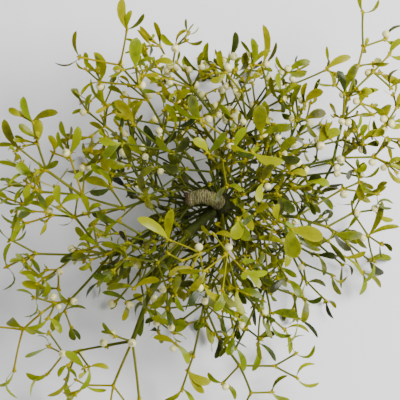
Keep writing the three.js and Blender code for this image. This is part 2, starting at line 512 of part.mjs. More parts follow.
// A leaf whose tip, width, bow to the left and tilt from level are chosen.
function chosenLeaf(internode, spec) {
  const base = internode.to.clone().addScaledVector(internode.direction, internode.radius * 0.6);
  const tip = point(spec.tip);
  tip.z += internode.lift;
  const chord = tip.clone().sub(base);
  const level = sideways(chord);
  const control = base.clone().addScaledVector(chord, 0.5).addScaledVector(level, -2 * spec.bow);
  control.z += chord.length() * 0.12;
  const across = level.multiplyScalar(Math.cos(radians(spec.tilt)))
    .addScaledVector(UP, Math.sin(radians(spec.tilt)));
  return addLeaf(internode, base, control, tip, across, spec.width, 0.25);
}

// One leaf of a pair, on the side of the stem that outward points to.
function pairedLeaf(internode, outward, length, roll) {
  const axis = internode.direction;
  const base = internode.to.clone().addScaledVector(axis, internode.radius * 0.6);
  const open = radians(roll(40, 75));
  const curl = radians(roll(-10, 100));
  const control = base.clone().addScaledVector(tipped(axis, outward, open), length * 0.5);
  const tip = control.clone().addScaledVector(tipped(axis, outward, open - curl), length * 0.5);
  const across = axis.clone().cross(outward);
  const width = length * roll(LEAF.widthShare[0], LEAF.widthShare[1]);
  return addLeaf(internode, base, control, tip, across, width, radians(roll(-50, 50)));
}

// Whether a leaf passes clear of other stems, other leaves and berries.
function leafIsClear(leaf) {
  const room = leaf.width * 0.32;
  return [0, 1].every((i) => {
    const [a, b] = [leaf.points[i], leaf.points[i + 1]];
    return hostGap(a, b) > HOST.radius + room &&
      internodes.every((other) =>
        other === leaf.internode || segmentGap(a, b, other.from, other.to) > other.radius + room) &&
      leaves.every((other) =>
        other.internode === leaf.internode || segmentGap(a, b, other.points[0], other.points[2]) > room) &&
      berries.every((berry) => segmentGap(a, b, berry.centre, berry.outer) > berry.radius + room);
  });
}

function growLeaves() {
  for (const internode of internodes) {
    internode.leaves.forEach((spec) => leaves.push(chosenLeaf(internode, spec)));
  }
  for (const internode of internodes) {
    if (internode.children.length || internode.leaves.length) continue;
    const roll = dice(5000 + internode.index);
    const length = roll(LEAF.length[0], LEAF.length[1]);
    for (let tries = 0; tries < 8; tries++) {
      const outward = around(internode.direction, roll(0, Math.PI));
      const pair = [outward, outward.clone().negate()].map((side) =>
        pairedLeaf(internode, side, length * roll(0.9, 1.05), roll)).filter(leafIsClear);
      if (pair.length < 2 && tries < 7) continue;
      leaves.push(...pair);
      break;
    }
  }
}

growBerries();
for (const berry of berries) berry.outer = berry.centre.clone().addScaledVector(berry.direction, 0.01);
growLeaves();

// ---- Solids ----

// A closed body through rings that turn the same way, ended by a point at each end.
function skin(rings, ends) {
  const positions = [];
  const put = (...corners) => corners.forEach((p) => positions.push(p.x, p.y, p.z));
  const sides = rings[0].length;
  rings.slice(1).forEach((ring, i) => {
    for (let k = 0; k < sides; k++) {
      const next = (k + 1) % sides;
      put(rings[i][k], rings[i][next], ring[next], rings[i][k], ring[next], ring[k]);
    }
  });
  const last = rings[rings.length - 1];
  for (let k = 0; k < sides; k++) {
    const next = (k + 1) % sides;
    put(ends[0], rings[0][next], rings[0][k], ends[1], last[k], last[next]);
  }
  return new THREE.BufferGeometry()
    .setAttribute("position", new THREE.Float32BufferAttribute(positions, 3));
}

function solidOf(geometry) {
  const bare = new THREE.BufferGeometry().setAttribute("position", geometry.getAttribute("position"));
  if (geometry.index) bare.setIndex(geometry.index);
  const merged = mergeVertices(bare, 1e-3);
  return new wasm.Manifold(new wasm.Mesh({
    numProp: 3,
    vertProperties: merged.attributes.position.array,
    triVerts: new Uint32Array(merged.index.array),
  }));
}

function geometryOf(solid) {
  const mesh = solid.getMesh();
  return new THREE.BufferGeometry()
    .setAttribute("position", new THREE.BufferAttribute(new Float32Array(mesh.vertProperties), 3))
    .setIndex(new THREE.BufferAttribute(new Uint32Array(mesh.triVerts), 1));
}

function ringAround(centre, along, side, radius, sides) {
  const level = side.clone().addScaledVector(along, -side.dot(along)).normalize();
  const up = along.clone().cross(level);
  return Array.from({ length: sides }, (_, k) => {
    const angle = (2 * Math.PI * k) / sides;
    return centre.clone().addScaledVector(level, radius * Math.cos(angle))
      .addScaledVector(up, radius * Math.sin(angle));
  });
}

// One run of stem: an internode, then always its first child, to the tip of a shoot.
// Every fork on it is a swollen knuckle, and the tip is a bud.
function stemRun(first) {
  const stations = [{ at: first.from, along: first.direction, radius: first.radius }];
  let here = first;
  for (;;) {
    const next = here.children[0];
    if (next && here.from.distanceTo(here.to) > 40) {
      const middle = here.from.clone().lerp(here.to, 0.5);
      stations.push({ at: middle, along: here.direction, radius: here.radius * 0.9 });
    }
    if (!next) break;
    const along = here.direction.clone().add(next.direction).normalize();
    stations.push({ at: here.to, along, radius: here.radius * KNUCKLE });
    here = next;
  }
  const cut = here.ownPiece ? -(BUD_RADIUS + GAP) : 0;
  const end = here.to.clone().addScaledVector(here.direction, cut);
  const peak = here.to.clone().addScaledVector(here.direction, cut || here.radius * 1.5);
  stations.push({ at: end, along: here.direction, radius: here.radius * (cut ? 1 : KNUCKLE) });
  const side = sideways(first.direction);
  const sides = first.radius > 1.9 ? STEM_SIDES : STEM_SIDES - 1;
  const rings = stations.map((s) => ringAround(s.at, s.along, side, s.radius, sides));
  return solidOf(skin(rings, [first.from, peak]));
}

function leafSolid(leaf) {
  const rings = [0.33, 0.74].map((s, i) => {
    const { midrib, across, facing } = leafAt(leaf, s);
    const half = (leaf.width / 2) * [0.8, 0.95][i];
    const thick = LEAF.thickness / 2;
    const ring = [
      midrib.clone().addScaledVector(across, -half).addScaledVector(facing, -thick / 2),
      midrib.clone().addScaledVector(facing, thick),
      midrib.clone().addScaledVector(across, half).addScaledVector(facing, -thick / 2),
    ];
    ring.forEach((p) => p.setZ(Math.max(p.z, 0)));
    return ring;
  });
  return solidOf(skin(rings, [leaf.base, leaf.tip]));
}

function ball(centre, radius, detail) {
  return solidOf(new THREE.IcosahedronGeometry(radius, detail).translate(centre.x, centre.y, centre.z));
}

// ---- Pieces ----

function number(i) {
  return String(i + 1).padStart(2, "0");
}

// The stub of the host's branch, its bark in low rings, cut off where the burr begins.
function hostSolid() {
  const curve = new THREE.CatmullRomCurve3(hostPath);
  const roll = dice(77);
  const rings = [];
  for (let i = 0; i < HOST.rings; i++) {
    const share = i / (HOST.rings - 1);
    const centre = curve.getPointAt(share);
    const ring = ringAround(centre, curve.getTangentAt(share), new THREE.Vector3(0, 1, 0), HOST.radius, 10);
    const swell = i % 3 === 1 ? 1.04 : 0.95;
    for (const p of ring) p.sub(centre).multiplyScalar(swell * roll(0.95, 1.03)).add(centre);
    rings.push(ring);
  }
  const rod = solidOf(skin(rings, [hostPath[0], hostPath[hostPath.length - 1]]));
  return rod.subtract(ball(burrCentre, BURR.radius + GAP, 4));
}

// The burr: a ball of woody growth with an uneven surface.
function burrSolid() {
  const roll = dice(78);
  const bare = new THREE.IcosahedronGeometry(BURR.radius, 3).deleteAttribute("normal").deleteAttribute("uv");
  const geometry = mergeVertices(bare, 1e-3);
  const at = geometry.getAttribute("position");
  for (let i = 0; i < at.count; i++) {
    const p = new THREE.Vector3().fromBufferAttribute(at, i).multiplyScalar(roll(0.94, 0.995));
    at.setXYZ(i, p.x + burrCentre.x, p.y + burrCentre.y, p.z + burrCentre.z);
  }
  return solidOf(geometry);
}

function meets(solid, other) {
  const [a, b] = [solid, other].map((one) => {
    const { min, max } = one.boundingBox();
    return new THREE.Box3(point(min), point(max));
  });
  return a.intersectsBox(b) && solid.intersect(other).volume() > 0;
}

// All the forks of one stem as one body.
function stemSolid(stem) {
  const firsts = internodes.filter((internode) => internode.stem === stem)
    .filter((internode) => !internode.parent || internode.parent.children[0] !== internode);
  return wasm.Manifold.union(firsts.map(stemRun));
}

const pieces = { host_branch: hostSolid(), burr: burrSolid() };
for (const stem of Object.keys(STEMS)) pieces[stem] = stemSolid(stem);

// The topmost berries are pieces of their own.
const ownBerries = [];
for (const berry of [...berries].sort((a, b) => b.centre.z - a.centre.z)) {
  if (ownBerries.length === BERRY_PIECES) break;
  const solid = ball(berry.centre, berry.radius, 1);
  if (Object.values(pieces).some((other) => meets(solid, other))) continue;
  pieces[`berry_${number(ownBerries.length)}`] = solid;
  ownBerries.push(berry);
}

// So are the largest complete leaf pairs, each on its bud, which takes the place of the
// stem's own tip.
const pairs = internodes.filter((internode) => !internode.children.length)
  .map((internode) => leaves.filter((leaf) => leaf.internode === internode))
  .filter((pair) => pair.length === 2)
  .sort((a, b) => b[0].width * b[1].width - a[0].width * a[1].width);
let ownPairs = 0;
for (const pair of pairs) {
  if (ownPairs === LEAF_PAIR_PIECES) break;
  const { internode } = pair[0];
  const solid = wasm.Manifold.union([ball(internode.to, BUD_RADIUS, 0), ...pair.map(leafSolid)]);
  internode.ownPiece = true;
  const shortened = { ...pieces, [internode.stem]: stemSolid(internode.stem) };
  internode.ownPiece = Object.values(shortened).every((other) => !meets(solid, other));
  if (!internode.ownPiece) continue;
  pieces[internode.stem] = shortened[internode.stem];
  pieces[`leaf_pair_${number(ownPairs)}`] = solid;
  ownPairs += 1;
}

// Every other leaf and berry is one body with its stem, unless another piece is in its way.
const joined = Object.fromEntries(Object.keys(STEMS).map((stem) => [stem, []]));

function join(stem, solid) {
  const offPieces = Object.entries(pieces).every(([name, other]) => name === stem || !meets(solid, other));
  const offJoined = Object.entries(joined).every(([name, others]) =>
    name === stem || others.every((other) => !meets(solid, other)));
  if (offPieces && offJoined) joined[stem].push(solid);
}

for (const leaf of leaves) {
  if (!leaf.internode.ownPiece) join(leaf.internode.stem, leafSolid(leaf));
}
for (const berry of berries) {
  if (ownBerries.includes(berry)) continue;
  const depth = berry.radius * 0.72 + berry.internode.radius * 0.4;
  const seated = berry.internode.to.clone().addScaledVector(berry.direction, depth);
  join(berry.internode.stem, ball(seated, berry.radius, 0));
}
for (const stem of Object.keys(STEMS)) {
  pieces[stem] = wasm.Manifold.union([pieces[stem], ...joined[stem]]);
}

// ---- The part ----

const FINISHES = {
  host_branch: { color: "#8f8b6c", roughness: 0.9, metalness: 0 },
  burr: { color: "#5a5a1e", roughness: 0.85, metalness: 0 },
  stem: { color: "#8a9420", roughness: 0.5, metalness: 0 },
  leaf: { color: "#a3a51f", roughness: 0.45, metalness: 0 },
  berry: { color: "#e2e0c8", roughness: 0.3, metalness: 0 },
};

const part = new THREE.Group();
part.name = "mistletoe_bunch";
for (const [name, solid] of Object.entries(pieces)) {
  const finish = FINISHES[name] ?? FINISHES[name.split("_")[0]];
  const mesh = new THREE.Mesh(geometryOf(solid), new THREE.MeshStandardMaterial(finish));
  mesh.name = name;
  part.add(mesh);
}
const box = new THREE.Box3().setFromObject(part);
const middle = box.getCenter(new THREE.Vector3());
for (const mesh of part.children) mesh.geometry.translate(-middle.x, -middle.y, -box.min.z);

export default part;
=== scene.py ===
"""A cut ball of mistletoe lying on a pale surface, seen from straight above."""
import json
import math

import bmesh
import bpy
import numpy as np
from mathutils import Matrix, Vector, noise

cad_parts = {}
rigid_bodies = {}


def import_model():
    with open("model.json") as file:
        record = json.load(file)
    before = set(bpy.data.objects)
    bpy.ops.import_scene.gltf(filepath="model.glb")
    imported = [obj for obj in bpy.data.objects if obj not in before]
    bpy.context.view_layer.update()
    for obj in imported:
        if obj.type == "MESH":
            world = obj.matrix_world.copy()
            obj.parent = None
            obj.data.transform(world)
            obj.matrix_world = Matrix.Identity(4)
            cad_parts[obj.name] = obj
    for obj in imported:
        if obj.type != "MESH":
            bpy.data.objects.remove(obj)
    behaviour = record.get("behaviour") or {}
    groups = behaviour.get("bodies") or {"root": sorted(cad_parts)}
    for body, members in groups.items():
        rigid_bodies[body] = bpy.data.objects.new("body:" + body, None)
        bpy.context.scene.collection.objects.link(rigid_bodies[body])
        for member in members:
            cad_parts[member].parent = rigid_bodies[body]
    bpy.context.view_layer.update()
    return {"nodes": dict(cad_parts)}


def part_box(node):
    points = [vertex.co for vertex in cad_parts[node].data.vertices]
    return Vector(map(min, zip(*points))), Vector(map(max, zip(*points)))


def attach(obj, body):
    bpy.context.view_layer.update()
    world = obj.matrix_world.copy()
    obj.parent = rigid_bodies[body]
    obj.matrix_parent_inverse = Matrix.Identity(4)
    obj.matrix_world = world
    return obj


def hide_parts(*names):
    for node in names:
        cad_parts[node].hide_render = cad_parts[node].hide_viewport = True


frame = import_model()

# ---- Dimensions, in millimetres unless a comment says otherwise ----

MM = 0.001
GAP = 0.3  # between pieces that touch
BURR_CENTRE = np.array([21.0, -5.0, 116.0])
BURR_RADIUS = 13.0
HOST_PATH = [[-14, 0, 138], [2, 4, 142], [13, 1, 139], [20, -3, 131]]
HOST_RADIUS = 7.0
TWIG_RADIUS = 1.0  # of this year's shoot
THICKENING = 0.11  # of a stem as its forks grow older
AGEING = 1.4  # power of a fork's age that its thickness follows
# How much faster than the rest some stems thicken.
STOUT = {"stem_south_west": 2.4, "stem_west": 1.3, "stem_north": 1.2, "stem_east": 0.6}
LEAF_LENGTH = (17, 29)
LEAF_WIDTH_SHARE = (0.2, 0.3)  # of its length
LEAF_THICKNESS = 1.1
LEAF_FOOT = 0.6  # how far past the end of its stem a leaf starts, in the stem's radii
LEAF_OPENING = (40, 75)  # degrees from the stem
LEAF_CURL = (-10, 100)  # degrees back from that
LEAF_TURN = (-50, 50)  # degrees of twist from foot to tip
GIVEN_LEAF_TURN = 0.25  # radians
GIVEN_LEAF_ARCH = 0.12  # rise of a given leaf's middle, as a share of its length
LEAF_ROOM = 0.32  # clear distance round a leaf's midrib, as a share of its width
PAIR_EVENNESS = (0.9, 1.05)  # each leaf of a pair, as a share of the pair's length
PAIR_TRIES = 8
BERRY_RADIUS = (3.5, 4.4)
BERRY_OPENING = (30, 115)  # degrees from the stem
BERRY_SEAT = 1.2  # radius of the knot that a berry sits on, in the stem's radii
BERRY_CLEARANCE = 0.6
BERRY_SPACING = 0.4
BERRY_TRIES = 16
FRUITING = 0.6  # share of the berries' seats that bear fruit
STEM_CLEARANCE = 1.2  # between the surfaces of two stems that pass
FLOOR_CLEARANCE = 4.0  # of a stem's centre line above the surface
LIFTS = (0, 5, -5, 9, -9, 13, -13, 18, -18)  # tried where a stem is in the way
MOST_RODS = 4000

# The fine shoots that fill the middle of the bunch.
SHOOT_RADIUS = 0.9
YOUNG_STEM_RADIUS = 1.4
SHOOT_CLEARANCE = 0.4
HOST_CLEARANCE = 12.0  # as seen from above
SPROUT_TRIES = 20
FORK_TRIES = 5  # for each shoot wanted
OUTER_TRIES = 8
SAME_WAY = 0.9  # cosine of the angle between shoots past which they grow the same way
# How many side shoots a fork of a main stem bears, and how many more at the very middle.
SIDE_SHOOTS = (0.7, 2.5)
MIDDLE_SHOOTS = 1.3
# How many shoots each of those bears, and each of these in turn. Draws are rounded down.
SECOND_SHOOTS = (1, 3)
THIRD_SHOOTS = (0, 2.6)
THIRD_REACH = 0.6  # as far out as shoots fork a third time
# The lengths of a side shoot and of those it bears, and how far they turn in degrees.
SIDE_SHOOT = ((20, 38), (25, 75))
SECOND_SHOOT = ((15, 26), (22, 55))
THIRD_SHOOT = ((13, 22), (22, 55))
OUTER_SHOOT = ((9, 20), (35, 80))
YOUNG_TWIG = ((14, 26), (20, 50))
# Young stems: how many, the seed of their dice, the length of the first internode, and the
# lengths and turns of the next. Long ones reach the rim, short ones tangle round the burr.
YOUNG_STEMS = [(13, 2000, (30, 52), (20, 38), (20, 60)),
               (10, 2100, (10, 22), (14, 24), (40, 80)),
               (4, 2230, (10, 20), (12, 20), (40, 80))]
BACK_LEAF_LENGTH = (11, 24)
FRONT_LEAF_LENGTH = (14, 31)
SHOOT_LEAF_WIDTH = (0.23, 0.36)  # of its length
SHOOT_LEAF_ROOM = 0.2
FORK_LEAVES = 0.13  # share of the forked shoots that bear leaves at the fork too
YELLOWEST_STEM = "stem_crown_south"
STOUT_STEM = [[12, -13, 122], [-16, -38, 137]]
SPREAD_CENTRE = np.array([-4.0, 2.0, 108.0])
SPREAD_REACH = np.array([130.0, 148.0, 96.0])
INNER_REACH = 0.95  # where the dense middle ends, as a share of SPREAD_REACH
OUTER_REACH = 1.7
# The most short shoots that a fork grows past the middle, on the stems that have any.
OUTER_SHOOTS = {"stem_west_south": 3.4, "stem_west": 3.4, "stem_south_west": 3.0,
                "stem_west_north": 1.6, "stem_north_west": 2.2, "stem_north": 2.0,
                "stem_north_north_east": 2.4, "stem_north_east": 1.8, "stem_east": 1.2,
                "stem_east_north": 2.2}

# Where the bunch is leafier or barer than elsewhere: x, y, size and how many more shoots.
THICKETS = [(-20, 138, 50, 2.4), (-20, -105, 40, 4.0), (118, 100, 60, 1.4), (178, 62, 45, 2.0),
            (-145, 40, 50, 0.6), (-170, -15, 50, 0.8), (-100, 20, 40, -1.5),
            (-100, 100, 45, 1.2), (-105, -100, 50, -2.2), (-68, -98, 32, -1.3),
            (-60, -22, 36, -1.25), (-18, 20, 34, -1.1), (60, 95, 40, 1.6), (30, 45, 50, -1.1),
            (100, 15, 40, -1.1), (60, -62, 42, -1.0), (-60, 62, 32, -0.5), (142, 100, 36, 1.2),
            (135, -88, 60, -2.6), (110, -130, 60, -2.6), (140, -18, 40, 1.2),
            (180, 150, 40, 1.5), (-170, -190, 50, 1.5)]
BAREST = -1.15  # the thinning past which no fine shoot grows at all
# Where the fine shoots have partly died back: x, y, size and the share that has.
BARE_PATCHES = [(-22, 32, 48, 0.6), (25, 75, 40, 0.5), (75, 25, 45, 0.5), (15, -25, 45, 0.4),
                (-75, 75, 40, 0.3)]
# Low leaves on the right that curl nearly into rings and so are narrower: x and y of the tip.
CURLED_TIPS = [(107, -138), (117, -148), (118, -168), (122, -187), (112, -136)]
CURLED_BOW = 2
CURLED_WIDTH = 0.7
# Where berries crowd together, x and y.
BERRY_CLUSTERS = [(-17, 132), (-34, 126), (15, 108), (38, 112), (25, 84), (73, 114), (103, 40),
                  (108, 92), (185, 78), (190, 45), (-60, 95)]
CLUSTER_SIZE = 13
CLUSTER_BERRIES = 4  # seats at each fork there
# Elsewhere a fork's seats are a draw from 0 to one of these, rounded down.
BACK_BERRIES, FRONT_BERRIES = 1.9, 1.15

# Painted light and painted shade in the skins' colour: lighter and yellower in from the rim, most of
# all on the left, and down from the top, a little more of it on the right; darker painted shade in the
# middle.
SHADE_CENTRE = (45, -10)
SHADE_RADIUS = 55
RIM_DEPTH = 150
SHADE_TOP = 80
TOP_DEPTH = 110
TOP_PAINTED_LIGHT = 0.4
TOP_PAINTED_LIGHT_PER_MM = 0.001
# Patches of painted light and painted shade on the skins, lighter and yellower where positive, darker
# and greener where negative: x, y, size and how much.
PAINTED_LIGHT_PATCHES = [(-55, 10, 85, -0.45), (25, 62, 50, 0.4), (40, -62, 70, 0.2), (125, 0, 70, -0.25),
               (-60, 180, 50, 0.4), (60, 180, 50, 0.5), (100, 125, 60, -0.3),
               (-120, 45, 45, 0.4), (180, 85, 50, 0.3), (-150, -130, 90, 0.45),
               (-75, -70, 45, -0.4), (-75, 70, 40, -0.3), (115, -110, 90, -0.35),
               (60, -180, 60, -0.2), (20, -150, 40, -0.3)]
# Where leaves are greener than elsewhere: x, y, size and how much.
GREEN_PATCHES = [(-145, -125, 110, 0.6), (-185, -20, 90, 0.4), (-20, -130, 60, 0.4),
                 (90, -120, 110, 0.5), (20, -190, 60, 0.4)]

# Each kind of choice has dice of its own, so that one can change without the rest.
SEEDS = {"side shoots": 1000, "run": 4000, "leaf pair": 5000, "buds": 7000, "gold": 8000,
         "berries": 9000, "fork leaves": 11000, "outer shoots": 12000, "death": 14000}
# A leaf's dice also follow the place of its tip: a seed and a factor for x, y and z.
LEAF_SEEDS = {"shape": (3000, 31, 17, 7), "tint": (6000, 13, 29, 3), "green": (6500, 11, 7, 5)}

CAMERA_HEIGHT = 3600.0
FRAME_WIDTH = 400.0  # what the camera takes in at the frame level
FRAME_LEVEL = 120.0
SENSOR = 36.0


def leaf(x, y, z, width, bow, tilt, ripeness=0):
    """A leaf's tip, width, how far it bows to the left, its tilt from level in degrees, and
    how much yellower it is than the leaves round it."""
    return {"tip": (x, y, z), "width": width, "bow": bow, "tilt": tilt, "ripeness": ripeness}


